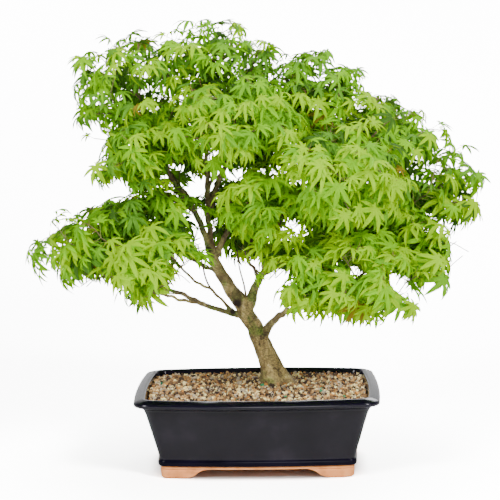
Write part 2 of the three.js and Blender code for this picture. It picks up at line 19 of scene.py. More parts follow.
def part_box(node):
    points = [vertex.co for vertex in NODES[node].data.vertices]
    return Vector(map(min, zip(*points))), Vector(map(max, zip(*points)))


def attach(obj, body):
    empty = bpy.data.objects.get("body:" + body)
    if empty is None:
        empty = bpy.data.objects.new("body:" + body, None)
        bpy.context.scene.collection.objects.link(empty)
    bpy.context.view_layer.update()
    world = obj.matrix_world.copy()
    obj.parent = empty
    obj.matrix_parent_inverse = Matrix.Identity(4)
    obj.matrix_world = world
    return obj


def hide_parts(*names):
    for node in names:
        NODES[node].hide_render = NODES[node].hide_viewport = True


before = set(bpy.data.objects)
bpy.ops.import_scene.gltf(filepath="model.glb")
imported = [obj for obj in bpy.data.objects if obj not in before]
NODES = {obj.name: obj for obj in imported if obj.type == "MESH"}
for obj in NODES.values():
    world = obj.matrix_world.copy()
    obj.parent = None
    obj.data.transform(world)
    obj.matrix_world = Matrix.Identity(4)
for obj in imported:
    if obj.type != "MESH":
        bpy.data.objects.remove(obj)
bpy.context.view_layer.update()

# %% [markdown]
# ## Sizes
#
# The sizes are those of the construction, in millimetres from the middle of the pot's underside. The
# pot's own node tells where that middle lies in the frame, so one function turns a size into a place.
# Numbers are worked on in NumPy arrays, because a tree has many thousands of points.

# %% From millimetres round the pot to metres in the frame
MM = 0.001
pot_low, pot_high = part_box("pot_body")
POT_MIDDLE = np.array([(pot_low[0] + pot_high[0]) / 2, (pot_low[1] + pot_high[1]) / 2, 0.0])


def placed(points):
    """Millimetres round the pot become metres in the frame."""
    return np.asarray(points, dtype=float) * MM + POT_MIDDLE


print("middle of the pot in the frame:", POT_MIDDLE.round(4).tolist())

# %% [markdown]
# ## Meshes from arrays
#
# Blender can build a mesh from Python lists, but a million numbers go in much faster as flat arrays.
# Every piece here is closed or thin triangles, so one small function makes them all. A second one
# covers a stack of rings with a skin, which is how a pot, a limb or a bead of glaze is lofted.

# %% Helpers that turn arrays into pieces


def mesh_piece(name, vertices, triangles, smooth=True):
    """A new object in the scene from an array of points and an array of triangles."""
    vertices = np.ascontiguousarray(vertices, dtype=np.float32)
    triangles = np.ascontiguousarray(triangles, dtype=np.int32)
    mesh = bpy.data.meshes.new(name)
    mesh.vertices.add(len(vertices))
    mesh.vertices.foreach_set("co", vertices.ravel())
    mesh.loops.add(triangles.size)
    mesh.loops.foreach_set("vertex_index", triangles.ravel())
    mesh.polygons.add(len(triangles))
    mesh.polygons.foreach_set("loop_start", np.arange(0, triangles.size, 3, dtype=np.int32))
    mesh.update(calc_edges=True)
    mesh.validate()
    mesh.polygons.foreach_set("use_smooth", np.full(len(mesh.polygons), smooth))
    piece = bpy.data.objects.new(name, mesh)
    bpy.context.scene.collection.objects.link(piece)
    return piece


def ring_triangles(rings, sides, closed_loop):
    """The triangles that cover a stack of rings, with flat ends where the stack is open."""
    triangles = []
    for level in range(rings if closed_loop else rings - 1):
        here = level * sides
        above = ((level + 1) % rings) * sides
        for i in range(sides):
            j = (i + 1) % sides
            triangles.append((here + i, here + j, above + j))
            triangles.append((here + i, above + j, above + i))
    if not closed_loop:
        top = (rings - 1) * sides
        for i in range(1, sides - 1):
            triangles.append((0, i + 1, i))
            triangles.append((top, top + i, top + i + 1))
    return np.array(triangles)


def unit(vector):
    """The vector with its length made one."""
    return vector / np.linalg.norm(vector)


def ring_round(forward, sides):
    """A ring of points one unit out from a limb, square to the way that it runs."""
    side = unit(np.cross((0, 1, 0), forward))
    up = np.cross(forward, side)
    angles = np.arange(sides) * 2 * math.pi / sides
    return np.cos(angles)[:, None] * side + np.sin(angles)[:, None] * up


def gather(parts):
    """Joins many (points, triangles) pairs into one pair."""
    points, triangles, start = [], [], 0
    for some_points, some_triangles in parts:
        points.append(some_points)
        triangles.append(np.asarray(some_triangles) + start)
        start += len(some_points)
    return np.concatenate(points), np.concatenate(triangles)


print("mesh helpers ready")

# %% [markdown]
# ## Materials
#
# Each finish is a Principled shader fed by noise that lies in the object's own space, so it needs no
# picture and looks the same from every side. Fine grain shows on clay, stone, wood and leaf alike, so
# it is a node group, built once and placed in each material with its own scale.

# %% Node helpers


def new_material(name):
    """A material, its node tree and the Principled shader that it starts with."""
    material = bpy.data.materials.new(name)
    material.use_nodes = True
    return material, material.node_tree, material.node_tree.nodes["Principled BSDF"]


def feed(tree, socket, value):
    """Links an output to an input, or gives the input a plain value."""
    if isinstance(value, bpy.types.NodeSocket):
        tree.links.new(value, socket)
    else:
        socket.default_value = value


def set_up(tree, node, *sources, **given):
    """Settings and inputs are given by name, and the sources go to the first inputs in their order."""
    for key, value in given.items():
        name = key.replace("_", " ")
        if name in node.inputs:
            feed(tree, node.inputs[name], value)
        else:
            setattr(node, key, value)
    for socket, value in zip(node.inputs, sources):
        feed(tree, socket, value)
    return node


def add_node(tree, kind, *sources, **given):
    return set_up(tree, tree.nodes.new(kind), *sources, **given)


def own_place(tree):
    """Where a point of the surface lies in the object's own space."""
    return add_node(tree, "ShaderNodeTexCoord").outputs["Object"]


def own_height(tree):
    return add_node(tree, "ShaderNodeSeparateXYZ", own_place(tree)).outputs["Z"]


def math_step(tree, operation, first, second):
    return add_node(tree, "ShaderNodeMath", first, second, operation=operation).outputs[0]


def vector_step(tree, operation, *sources):
    """One step with vectors gives a number where it measures, or else a vector."""
    node = add_node(tree, "ShaderNodeVectorMath", *sources, operation=operation)
    return node.outputs["Value" if operation in ("LENGTH", "DISTANCE") else "Vector"]


def map_range(tree, value, given, wanted):
    """Turns one span of a value into another."""
    return add_node(tree, "ShaderNodeMapRange", value, *given, *wanted).outputs["Result"]


def blend_colours(tree, factor, first, second):
    mix = add_node(tree, "ShaderNodeMix", data_type="RGBA", Factor=factor, A=first, B=second)
    return mix.outputs["Result"]


def blend_shaders(tree, factor, first, second):
    return add_node(tree, "ShaderNodeMixShader", factor, first, second).outputs["Shader"]


def ramp(tree, value, stops):
    """The colour at a value, between (place, colour) stops."""
    node = add_node(tree, "ShaderNodeValToRGB", value)
    elements = node.color_ramp.elements
    while len(elements) < len(stops):
        elements.new(0.5)
    for element, (place, colour) in zip(elements, stops):
        element.position = place
        element.color = (*colour, 1)
    return node.outputs["Color"]


def add_bump(tree, height, shader, strength, distance):
    bump = add_node(tree, "ShaderNodeBump", Strength=strength, Distance=distance, Height=height)
    feed(tree, shader.inputs["Normal"], bump.outputs["Normal"])


print("node helpers ready")

# %% The shared grain group


def new_group(name, inputs, outputs):
    """A node group with named sockets, the values that it is given and the results that it puts out."""
    group = bpy.data.node_groups.new(name, "ShaderNodeTree")
    for label, kind in inputs.items():
        group.interface.new_socket(label, in_out="INPUT", socket_type="NodeSocket" + kind)
    for label in outputs:
        group.interface.new_socket(label, in_out="OUTPUT", socket_type="NodeSocketFloat")
    return group, group.nodes.new("NodeGroupInput").outputs, group.nodes.new("NodeGroupOutput").inputs


def grain_group():
    """Noise at a coarse and a fine scale: a mask for patches, and a height for the surface."""
    inputs = {"Patch Scale": "Float", "Grain Scale": "Float", "Stretch": "Vector"}
    group, given, result = new_group("surface grain", inputs, ("Patches", "Grain"))
    place = vector_step(group, "MULTIPLY", own_place(group), given["Stretch"])
    patches = add_node(group, "ShaderNodeTexNoise", Vector=place, Scale=given["Patch Scale"], Detail=3.0)
    grain = add_node(group, "ShaderNodeTexNoise", Vector=place, Scale=given["Grain Scale"], Detail=5.0,
                     Roughness=0.6)
    feed(group, result["Patches"], patches.outputs["Fac"])
    feed(group, result["Grain"], grain.outputs["Fac"])
    return group


GRAIN = grain_group()


def add_grain(tree, patch_scale, grain_scale, stretch=(1, 1, 1)):
    """The patches and the fine grain at the scales that one finish needs."""
    node = add_node(tree, "ShaderNodeGroup", node_tree=GRAIN, Patch_Scale=patch_scale,
                    Grain_Scale=grain_scale, Stretch=stretch)
    return node.outputs["Patches"], node.outputs["Grain"]


def grained_material(name, scales, stops, roughness, bump):
    """A plain finish: colours that wander with the patches, and a bump from the fine grain."""
    material, tree, shader = new_material(name)
    patches, grain = add_grain(tree, *scales)
    set_up(tree, shader, Base_Color=ramp(tree, patches, stops), Roughness=roughness)
    add_bump(tree, grain, shader, *bump)
    return material


print("node group:", GRAIN.name, [socket.name for socket in GRAIN.interface.items_tree])

# %% [markdown]
# ## The pot's finishes
#
# The body is stoneware under a dark navy glaze, with a faint mottle where it ran thinner over the clay,
# which noise gives to its colour. The glaze lies thick and glossy on the lip and on the bead round the
# foot, and thin on the wall between them, where it is satin. The lip reflects the studio strongly, but
# the bead and the strip under it get only a weak shine, a painted shade at the foot of the pot. So the
# roughness and the shine follow the height. The feet and the underside have no glaze: bare fired clay
# is pale orange, dry and sandy.

# %% Glaze and terracotta
BEAD_TURN = (0.0238, 0.0262)
LIP_TURN = (0.0895, 0.0935)
THICK_GLAZE = [(0.35, (0.0019, 0.0013, 0.0048)), (0.7, (0.0044, 0.0031, 0.0100))]
THIN_GLAZE = [(0.3, (0.0062, 0.0052, 0.0082)), (0.55, (0.0090, 0.0076, 0.0118)), (0.8, (0.019, 0.016, 0.023))]
CLAY = [(0.25, (0.50, 0.17, 0.05)), (0.5, (0.80, 0.29, 0.085)), (0.8, (0.92, 0.40, 0.15))]


def glaze_material():
    """Thick, glossy on lip and bead, thin and satin on the wall; the bead's weak shine is painted shade."""
    material, tree, shader = new_material("navy glaze")
    patches, grain = add_grain(tree, 26, 900)
    height = own_height(tree)
    wall = math_step(tree, "MULTIPLY", map_range(tree, height, BEAD_TURN, (0, 1)),
                     map_range(tree, height, LIP_TURN, (1, 0)))
    # Painted shade at the foot: the bead and the strip under it get a weak shine, the wall more, the lip
    # most.
    shine_with_painted_shade = math_step(tree, "ADD", map_range(tree, height, BEAD_TURN, (0.08, 0.3)),
                      map_range(tree, height, LIP_TURN, (0, 0.12)))
    colour = blend_colours(tree, wall, ramp(tree, patches, THICK_GLAZE), ramp(tree, patches, THIN_GLAZE))
    set_up(tree, shader, Base_Color=colour, Roughness=map_range(tree, wall, (0, 1), (0.09, 0.42)),
           Specular_IOR_Level=shine_with_painted_shade)
    add_bump(tree, grain, shader, 0.15, 0.0004)
    return material


GLAZE = glaze_material()
TERRACOTTA = grained_material("bare clay", (60, 1500), CLAY, 0.9, (0.5, 0.0008))
print("pot finishes:", GLAZE.name, "and", TERRACOTTA.name)

# %% [markdown]
# ## The glazed body
#
# A pot like this is pressed in a mould: a rectangle whose sides bow out a little, a wall that flares to
# a rolled lip, and a bead round the foot. The body is a loft of outlines. Each outline is the same
# rounded rectangle, pushed out by what the wall's profile says at that height, so corners, bows and
# flare all follow from a few sizes. Many short edges make the curves read as smooth glaze.

# %% The pot's outline and the wall's profile
RIM_TOP = 104
BASE_WIDTH = 245
BASE_DEPTH = 176
LONG_SIDE_BOW = 10
SHORT_SIDE_BOW = 3.5
BASE_BOW_SHARE = 0.55
CORNER_RADIUS = 9
CORNER_GROWTH = 0.4
STRIP_TOP = 16
CORNER_EDGES = 8
LONG_SIDE_EDGES = 26
SHORT_SIDE_EDGES = 18


def pot_ring(height, outset):
    """The pot's outline at one height, pushed out from the foot's size."""
    bow = BASE_BOW_SHARE + (1 - BASE_BOW_SHARE) * height / RIM_TOP
    corner = CORNER_RADIUS + CORNER_GROWTH * outset
    corner_x = BASE_WIDTH / 2 + outset - corner
    corner_y = BASE_DEPTH / 2 + outset - corner
    points = []
    for quarter in range(4):
        sign_x = 1 if quarter in (0, 3) else -1
        sign_y = 1 if quarter < 2 else -1
        for i in range(CORNER_EDGES + 1):
            angle = math.pi / 2 * (quarter + i / CORNER_EDGES)
            points.append((sign_x * corner_x + corner * math.cos(angle),
                           sign_y * corner_y + corner * math.sin(angle), height))
        along_long_side = quarter % 2 == 0
        edges = LONG_SIDE_EDGES if along_long_side else SHORT_SIDE_EDGES
        for i in range(1, edges):
            t = 1 - 2 * i / edges
            swell = bow * (1 - t * t)
            if along_long_side:
                points.append((sign_x * corner_x * t,
                               sign_y * (corner_y + corner + LONG_SIDE_BOW * swell), height))
            else:
                points.append((sign_x * (corner_x + corner + SHORT_SIDE_BOW * swell),
                               sign_y * corner_y * t, height))
    return placed(points)


def rounded(heights_and_outsets, steps):
    """Smooths a profile: each step cuts off every corner, which leaves short round turns."""
    profile = list(heights_and_outsets)
    for _ in range(steps):
        cut = [profile[0]]
        for (h0, o0), (h1, o1) in zip(profile, profile[1:]):
            cut.append((0.75 * h0 + 0.25 * h1, 0.75 * o0 + 0.25 * o1))
            cut.append((0.25 * h0 + 0.75 * h1, 0.25 * o0 + 0.75 * o1))
        cut.append(profile[-1])
        profile = cut
    return profile


OUTER_PROFILE = [(STRIP_TOP + 0.2, -1.5), (STRIP_TOP + 0.4, 1.2), (18.5, 2.3), (22.5, 2.3), (24.4, 1.2),
                 (24.8, 0.1), (30, 1.2), (60, 9.5), (82, 15.5), (89.4, 18.4), (90.6, 19.7), (91.8, 19.7),
                 (92.6, 21.4), (94.0, 23.6), (94.6, 28.4), (96.4, 30.3), (99.4, 30.5), (101.4, 28.6),
                 (102.8, 24.8), (103.9, 20.0)]
INNER_LIP = (100, 15.2)
INNER_WALL = (84, 7.0)
INNER_PROFILE = [(103.9, 17.4), (102.4, 15.8), INNER_LIP, INNER_WALL, (40, -5), (STRIP_TOP + 0.2, -9)]


# %% Loft the glazed body
profile = rounded(OUTER_PROFILE, 2) + rounded(INNER_PROFILE, 1)
rings = [pot_ring(height, outset) for height, outset in profile]
sides = len(rings[0])
glazed_pot = mesh_piece("glazed_pot", np.concatenate(rings), ring_triangles(len(rings), sides, True))
glazed_pot.data.materials.append(GLAZE)
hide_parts("pot_body")
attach(glazed_pot, "root")
print("glazed pot:", len(rings), "outlines of", sides, "points")

# %% [markdown]
# ## Feet and underside
#
# The four feet and the bare bottom are already right in the frame, but their edges are knife sharp.
# Fired clay never is, so each is copied, its edges are bevelled, and the copy stands for the node.

# %% Bevelled clay feet
BEVEL_WIDTH = 1.1 * MM
WELD_WITHIN = 0.00002
FLAT_WITHIN = math.radians(4)
SHARP_FROM = math.radians(35)
CREASE_FROM = math.radians(40)


def softened_copy(node_name, piece_name):
    """A copy of a CAD node with its sharp edges rounded."""
    mesh = NODES[node_name].data.copy()
    mesh.materials.clear()
    piece = bpy.data.objects.new(piece_name, mesh)
    bpy.context.scene.collection.objects.link(piece)
    piece.matrix_world = NODES[node_name].matrix_world.copy()
    shape = bmesh.new()
    shape.from_mesh(mesh)
    bmesh.ops.remove_doubles(shape, verts=shape.verts, dist=WELD_WITHIN)
    bmesh.ops.dissolve_limit(shape, angle_limit=FLAT_WITHIN, verts=shape.verts, edges=shape.edges)
    sharp = [edge for edge in shape.edges if len(edge.link_faces) == 2
             and edge.calc_face_angle(0) > SHARP_FROM]
    bmesh.ops.bevel(shape, geom=sharp, offset=BEVEL_WIDTH, segments=3, profile=0.6,
                    affect="EDGES", clamp_overlap=True)
    bmesh.ops.triangulate(shape, faces=shape.faces)
    shape.to_mesh(mesh)
    shape.free()
    for polygon in mesh.polygons:
        polygon.use_smooth = True
    mesh.set_sharp_from_angle(angle=CREASE_FROM)
    mesh.materials.append(TERRACOTTA)
    return piece


CLAY_NODES = [name for name in NODES if name.startswith("foot_") or name == "pot_floor"]
for name in CLAY_NODES:
    clay = softened_copy(name, "clay_" + name)
    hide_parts(name)
    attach(clay, "root")
print("clay pieces:", CLAY_NODES)

# %% [markdown]
# ## Soil and grit
#
# A bonsai grows in a gritty mix, and its top is a layer of loose stones from 3 to 6 mm across. A flat
# bed hides what is under them; it is very dark, partly the soil's own colour and partly painted shade in
# the gaps between the stones. Each stone is an angular lump: a small cube with its corners moved at
# random, pressed flatter than it is wide, and turned any way. Flat shading keeps its edges sharp. The
# stones are dealt out over the soil on a loose grid so that no bare patch is left, and sorted by colour
# into one joined piece for each.

# %% The bed under the stones
SOIL_TOP = 98
BED_DEPTH = 12
BED_DROP = 1.5
BED_CLEARANCE = 0.8


def stone_material(name, colour, spread):
    """Matte stone whose colour wanders a little from stone to stone."""
    darker = tuple(c * (1 - spread) for c in colour)
    lighter = tuple(min(1, c * (1 + spread)) for c in colour)
    return grained_material(name, (140, 1200), [(0.3, darker), (0.5, colour), (0.7, lighter)], 0.85,
                            (0.4, 0.0006))


def inner_outset(height):
    """How far the inside of the wall stands out at a height of its upper part."""
    (high, far), (low, near) = INNER_LIP, INNER_WALL
    return far + (near - far) * (high - height) / (high - low)


bed_levels = [SOIL_TOP - BED_DEPTH, SOIL_TOP - BED_DROP]
bed_rings = [pot_ring(height, inner_outset(height) - BED_CLEARANCE) for height in bed_levels]
bed = mesh_piece("soil_bed", np.concatenate(bed_rings), ring_triangles(2, sides, False), smooth=False)
# Painted shade: the bed is very dark, partly the soil's own colour and partly shade for the gaps between
# stones.
bed.data.materials.append(stone_material("soil and painted gap shade", (0.030, 0.018, 0.011), 0.5))
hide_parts("soil")
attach(bed, "root")
print("soil bed", BED_DEPTH, "mm deep under the stones")

# %% One layer of loose stones
STONE_COLOURS = {
    "tan": ((0.45, 0.255, 0.090), 0.25),
    "cream": ((0.97, 0.74, 0.33), 0.165),
    "brown": ((0.165, 0.088, 0.034), 0.20),
    "grey": ((0.42, 0.34, 0.23), 0.13),
    "rust": ((0.52, 0.22, 0.045), 0.05),
    "umber": ((0.046, 0.024, 0.012), 0.20),
    "green": ((0.03, 0.22, 0.09), 0.005),
}
STONE_SPACING = 4.2
STONE_SIZE = (3.2, 6.2)
STONE_SHIFT = 1.8
STONE_SEAT = 1.2
STONE_CLEARANCE = 2.2
STONE_COLOUR_SPREAD = 0.5
TRUNK_FOOT = np.array([25.0, 37.0])
TRUNK_FOOT_RADIUS = 19
MOUND_HEIGHT = 1.6
MOUND_REACH = 14
SWELL_HEIGHT = 1.2
SWELL_LENGTH = 34
FRONT_RISE = 1.6


def stone_shape():
    """Corners and faces of a small cube, whose corners are moved for each stone later."""
    shape = bmesh.new()
    bmesh.ops.create_cube(shape, size=0.86)
    bmesh.ops.triangulate(shape, faces=shape.faces)
    corners = np.array([corner.co[:] for corner in shape.verts])
    faces = np.array([[corner.index for corner in face.verts] for face in shape.faces])
    shape.free()
    return corners, faces


def random_turns(chance, count):
    """Rotation matrices that point every way, from random quaternions."""
    q = chance.normal(size=(count, 4))
    w, x, y, z = (q / np.linalg.norm(q, axis=1)[:, None]).T
    rows = [[1 - 2 * (y * y + z * z), 2 * (x * y - z * w), 2 * (x * z + y * w)],
            [2 * (x * y + z * w), 1 - 2 * (x * x + z * z), 2 * (y * z - x * w)],
            [2 * (x * z - y * w), 2 * (y * z + x * w), 1 - 2 * (x * x + y * y)]]
    return np.moveaxis(np.array(rows), 2, 0)


def inside_pot(x, y, outset):
    """True where a point of the soil lies within the wall, with its bowed sides."""
    half_x = BASE_WIDTH / 2 + outset
    half_y = BASE_DEPTH / 2 + outset
    bow_x = SHORT_SIDE_BOW * (1 - (y / half_y) ** 2)
    bow_y = LONG_SIDE_BOW * (1 - (x / half_x) ** 2)
    corner = 14
    past_x = np.maximum(np.abs(x) - (half_x - corner), 0)
    past_y = np.maximum(np.abs(y) - (half_y - corner), 0)
    in_corner = (past_x > 0) & (past_y > 0)
    rounded_off = past_x ** 2 + past_y ** 2 < corner ** 2
    return (np.abs(x) < half_x + bow_x) & (np.abs(y) < half_y + bow_y) & (~in_corner | rounded_off)


chance = np.random.default_rng(11)
grid_x, grid_y = np.meshgrid(np.arange(-145, 146, STONE_SPACING), np.arange(-120, 121, STONE_SPACING))
stone_x = (grid_x + chance.uniform(-STONE_SHIFT, STONE_SHIFT, grid_x.shape)).ravel()
stone_y = (grid_y + chance.uniform(-STONE_SHIFT, STONE_SHIFT, grid_x.shape)).ravel()
keep = inside_pot(stone_x, stone_y, inner_outset(SOIL_TOP) - STONE_CLEARANCE)
from_trunk = np.hypot(stone_x - TRUNK_FOOT[0], stone_y - TRUNK_FOOT[1])
keep &= from_trunk > TRUNK_FOOT_RADIUS - 5
stone_x, stone_y, from_trunk = stone_x[keep], stone_y[keep], from_trunk[keep]
count = len(stone_x)
size = chance.uniform(*STONE_SIZE, count) * chance.choice([0.8, 1, 1.25], count, p=[0.3, 0.5, 0.2])
mound = MOUND_HEIGHT * np.exp(-((from_trunk - TRUNK_FOOT_RADIUS) / MOUND_REACH) ** 2)
swell = np.array([noise.noise(Vector((x / SWELL_LENGTH, y / SWELL_LENGTH, 3.0)))
                  for x, y in zip(stone_x, stone_y)])
front_rise = FRONT_RISE * (0.5 - stone_y / 220)
stone_z = SOIL_TOP - STONE_SEAT + mound + SWELL_HEIGHT * swell + front_rise
stone_z = stone_z + chance.uniform(-1.0, 1.6, count)
corners, faces = stone_shape()
lumps = corners[None] * chance.uniform(0.42, 1.12, (count, len(corners), 3))
lumps = lumps * size[:, None, None] * chance.uniform([0.8, 0.7, 0.55], [1.15, 1.0, 0.8], (count, 3))[:, None]
lumps = np.einsum("nij,nkj->nki", random_turns(chance, count), lumps)
stones = lumps + np.stack([stone_x, stone_y, stone_z], axis=1)[:, None]
colour_of = chance.choice(len(STONE_COLOURS), count, p=[share for _, share in STONE_COLOURS.values()])
for index, (name, (colour, share)) in enumerate(STONE_COLOURS.items()):
    chosen = stones[colour_of == index]
    starts = (np.arange(len(chosen)) * len(corners))[:, None, None]
    grit = mesh_piece("grit_" + name, placed(chosen.reshape(-1, 3)), (faces[None] + starts).reshape(-1, 3),
                      smooth=False)
    grit.data.materials.append(stone_material("stone " + name, colour, STONE_COLOUR_SPREAD))
    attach(grit, "root")
    print("grit", name, len(chosen), "stones")

# %% [markdown]
# ## The limbs
#
# The trunk leans to the left, forks at half height, and sends long thin boughs out to each side. Each
# limb is a smooth curve through a few places with a radius at each, the same ones that the
# construction uses. A bough starts inside the limb that carries it, with a collar where the two grow
# together. All of them are then remeshed into one skin, as bark runs on over every fork, and the skin
# is moved in and out for ridges, knots and the small lumps of old leaf scars.

# %% Where the limbs run
TRUNK = [(25, 37, 98.3, 18), (20, 37, 113, 14.8), (10, 35, 140, 12.6), (-4, 31, 171, 10.6),
         (-18, 27, 201, 10.6), (-37, 21, 230, 8.4), (-51, 14, 255, 7.2), (-58, 10, 277, 6.2)]
# Each bough: its carrier, the share of the way up it, places on the way, its tip, and both end radii
BOUGHS = {
    "low_left": ("trunk", 0.50, [(-58, 5, 203), (-98, -14, 225)], (-150, -24, 241), 3.7, 2.2),
    "low_left_front": ("low_left", 0.42, [(-100, -42, 222)], (-122, -64, 232), 2.3, 1.7),
    "inner_left": ("low_left", 0.13, [(-56, 4, 224), (-80, -12, 241)], (-104, -16, 268), 2.1, 1.6),
    "left_back": ("trunk", 0.80, [(-72, 40, 254)], (-113, 66, 276), 2.4, 1.8),
    "right_mid": ("trunk", 0.54, [(4, 12, 240), (12, 5, 250)], (52, -22, 262), 5.4, 2.6),
    "right_mid_up": ("right_mid", 0.45, [(14, -8, 270)], (30, -38, 316), 2.6, 1.9),
    "right_mid_back": ("right_mid", 0.32, [(-10, 34, 262)], (-6, 78, 296), 2.4, 1.8),
    "right_long": ("right_mid", 0.62, [(62, 14, 272), (120, 22, 296)], (176, 12, 322), 3.4, 2.0),
    "right_back": ("right_long", 0.30, [(84, 48, 276)], (112, 84, 288), 2.4, 1.7),
    "low_right": ("trunk", 0.36, [(27, 8, 190), (56, -10, 203)], (108, -38, 222), 5.3, 2.4),
    "low_right_far": ("low_right", 0.60, [(112, 2, 226), (150, 0, 238)], (180, -8, 250), 2.6, 1.8),
    "leader_left": ("trunk", 0.97, [(-76, -2, 324), (-107, -12, 374)], (-126, -14, 430), 4.4, 2.6),
    "upper_left": ("leader_left", 0.42, [(-112, -24, 364)], (-142, -34, 386), 2.5, 1.8),
    "upper_left_back": ("leader_left", 0.28, [(-92, 34, 352)], (-122, 74, 384), 2.5, 1.8),
    "leader_centre": ("trunk", 1.0, [(-61, 10, 323), (-63, 9, 372)], (-58, 4, 452), 4.2, 2.4),
    "crown_back": ("leader_centre", 0.40, [(-46, 52, 372)], (-24, 92, 410), 2.6, 1.8),
    "top_right": ("leader_centre", 0.36, [(-38, 22, 385), (-4, 14, 424)], (36, 2, 452), 3.4, 2.2),
    "crown_front": ("leader_centre", 0.52, [(-46, -30, 396)], (-30, -66, 410), 2.4, 1.7),
    "right_upper": ("trunk", 0.93, [(-16, -12, 333), (50, -14, 376)], (120, -16, 408), 3.8, 2.2),
    "right_upper_front": ("right_upper", 0.42, [(34, -48, 366)], (72, -78, 380), 2.3, 1.7),
    "right_upper_back": ("right_upper", 0.55, [(74, 34, 388)], (104, 78, 402), 2.3, 1.7),
}


class Limb:
    """A smooth curve through given places, with a radius all along it."""

    def __init__(self, places, radii):
        self.places = np.array(places, dtype=float)
        self.radii = np.array(radii, dtype=float)
        self.known_length = None

    def point(self, t):
        """The place at a share t of the way, on a curve that passes every given place."""
        spans = len(self.places) - 1
        i = min(int(t * spans), spans - 1)
        u = t * spans - i
        x1, x2 = self.places[i], self.places[i + 1]
        x0 = self.places[i - 1] if i > 0 else 2 * x1 - x2
        x3 = self.places[i + 2] if i + 2 <= spans else 2 * x2 - x1
        d0, d1, d2 = (np.linalg.norm(b - a) ** 0.5 for a, b in ((x0, x1), (x1, x2), (x2, x3)))
        m1 = d1 * ((x1 - x0) / d0 - (x2 - x0) / (d0 + d1) + (x2 - x1) / d1)
        m2 = d1 * ((x2 - x1) / d1 - (x3 - x1) / (d1 + d2) + (x3 - x2) / d2)
        return (x1 + m1 * u + (3 * (x2 - x1) - 2 * m1 - m2) * u ** 2
                + (2 * (x1 - x2) + m1 + m2) * u ** 3)

    def direction(self, t):
        return unit(self.point(min(t + 0.005, 1)) - self.point(max(t - 0.005, 0)))

    def radius(self, t):
        return float(np.interp(t * (len(self.radii) - 1), np.arange(len(self.radii)), self.radii))

    def length(self):
        if self.known_length is None:
            points = np.array([self.point(t) for t in np.linspace(0, 1, 30)])
            self.known_length = float(np.linalg.norm(np.diff(points, axis=0), axis=1).sum())
        return self.known_length


LIMBS = {"trunk": Limb([place[:3] for place in TRUNK], [place[3] for place in TRUNK])}
for name, (parent, share, via, tip, first_radius, last_radius) in BOUGHS.items():
    places = [LIMBS[parent].point(share), *via, tip]
    LIMBS[name] = Limb(places, np.linspace(first_radius, last_radius, len(places)))
print("limbs:", len(LIMBS), "together", round(sum(limb.length() for limb in LIMBS.values())), "mm long")

# %% Loft each limb and grow them together
ROOT_FLARE = 10
ROOT_FLARE_HEIGHT = 10
ROOT_RIDGES = (-12, 75, 170, 255)
ROOT_RIDGE_SPREAD = 26
COLLAR_SHARE = 0.55
WANDER = 3.2
WANDER_LENGTH = 16
BARK_VOXEL = 0.95 * MM
RING_SPACING = 3
TRUNK_SIDES = 40
BOUGH_SIDES = 14


def ridge_share(angles):
    """How much of the root flare stands out in each direction round the foot."""
    apart = (np.degrees(angles)[:, None] - np.array(ROOT_RIDGES) + 180) % 360 - 180
    return np.minimum(0.25 + np.exp(-(apart / ROOT_RIDGE_SPREAD) ** 2).sum(axis=1), 1)


def wander(limb, t):
    """Small bends that a grown limb has between the places that its curve is drawn through."""
    along = t * limb.length() / WANDER_LENGTH
    seed = float(limb.radii[0]) * 7
    shift = [noise.noise(Vector((along, seed, 10 * axis))) for axis in range(3)]
    return WANDER * math.sin(math.pi * t) * np.array(shift)


def limb_tube(limb, ring_count, sides, is_trunk):
    """The rings of one limb: the trunk's flare into the roots, and a bough's start with a collar."""
    angles = np.arange(sides) * 2 * math.pi / sides
    rings = []
    for t in np.linspace(0, 1, ring_count):
        centre = limb.point(t) + wander(limb, t)
        forward = limb.direction(t)
        reach = np.full(sides, limb.radius(t))
        if is_trunk:
            rise = centre[2] - SOIL_TOP
            level = max(0.0, 1 - rise / (3 * ROOT_FLARE_HEIGHT))
            forward = unit(forward * (1 - level) + np.array([0, 0, 1]) * level)
            flare = ROOT_FLARE * math.exp(-rise / ROOT_FLARE_HEIGHT)
            reach = reach + flare * ridge_share(angles - math.pi / 2)
        else:
            from_start = t * limb.length()
            reach = reach * (1 + COLLAR_SHARE * math.exp(-(from_start / (4 * limb.radii[0])) ** 2))
        rings.append(centre + reach[:, None] * ring_round(forward, sides))
    return np.concatenate(rings), ring_triangles(ring_count, sides, False)


tubes = []
for name, limb in LIMBS.items():
    is_trunk = name == "trunk"
    ring_count = max(8, int(limb.length() / RING_SPACING))
    tubes.append(limb_tube(limb, ring_count, TRUNK_SIDES if is_trunk else BOUGH_SIDES, is_trunk))
points, triangles = gather(tubes)
bark = mesh_piece("bark", placed(points), triangles)
remesh = bark.modifiers.new("grow together", "REMESH")
remesh.mode = "VOXEL"
remesh.voxel_size = BARK_VOXEL
relax = bark.modifiers.new("relax", "SMOOTH")
relax.factor = 0.5
relax.iterations = 3
grown = bpy.data.meshes.new_from_object(bark.evaluated_get(bpy.context.evaluated_depsgraph_get()))
bark.modifiers.clear()
bark.data = grown
print("bark skin:", len(grown.vertices), "points after growing together")

# %% [markdown]
# ## Bark relief and colour
#
# Young maple bark is smooth and olive, with fine stretch lines along the limb, a few raised knots, and
# moss and dark stains in patches. The relief is real geometry: every point moves along its own normal
# by noise that is stretched along the height. The colour is a ramp over the same kind of noise, tan on
# stout wood and olive on thin, with moss and stains laid over it where other noises are high, and a
# dark spot on each old scar.

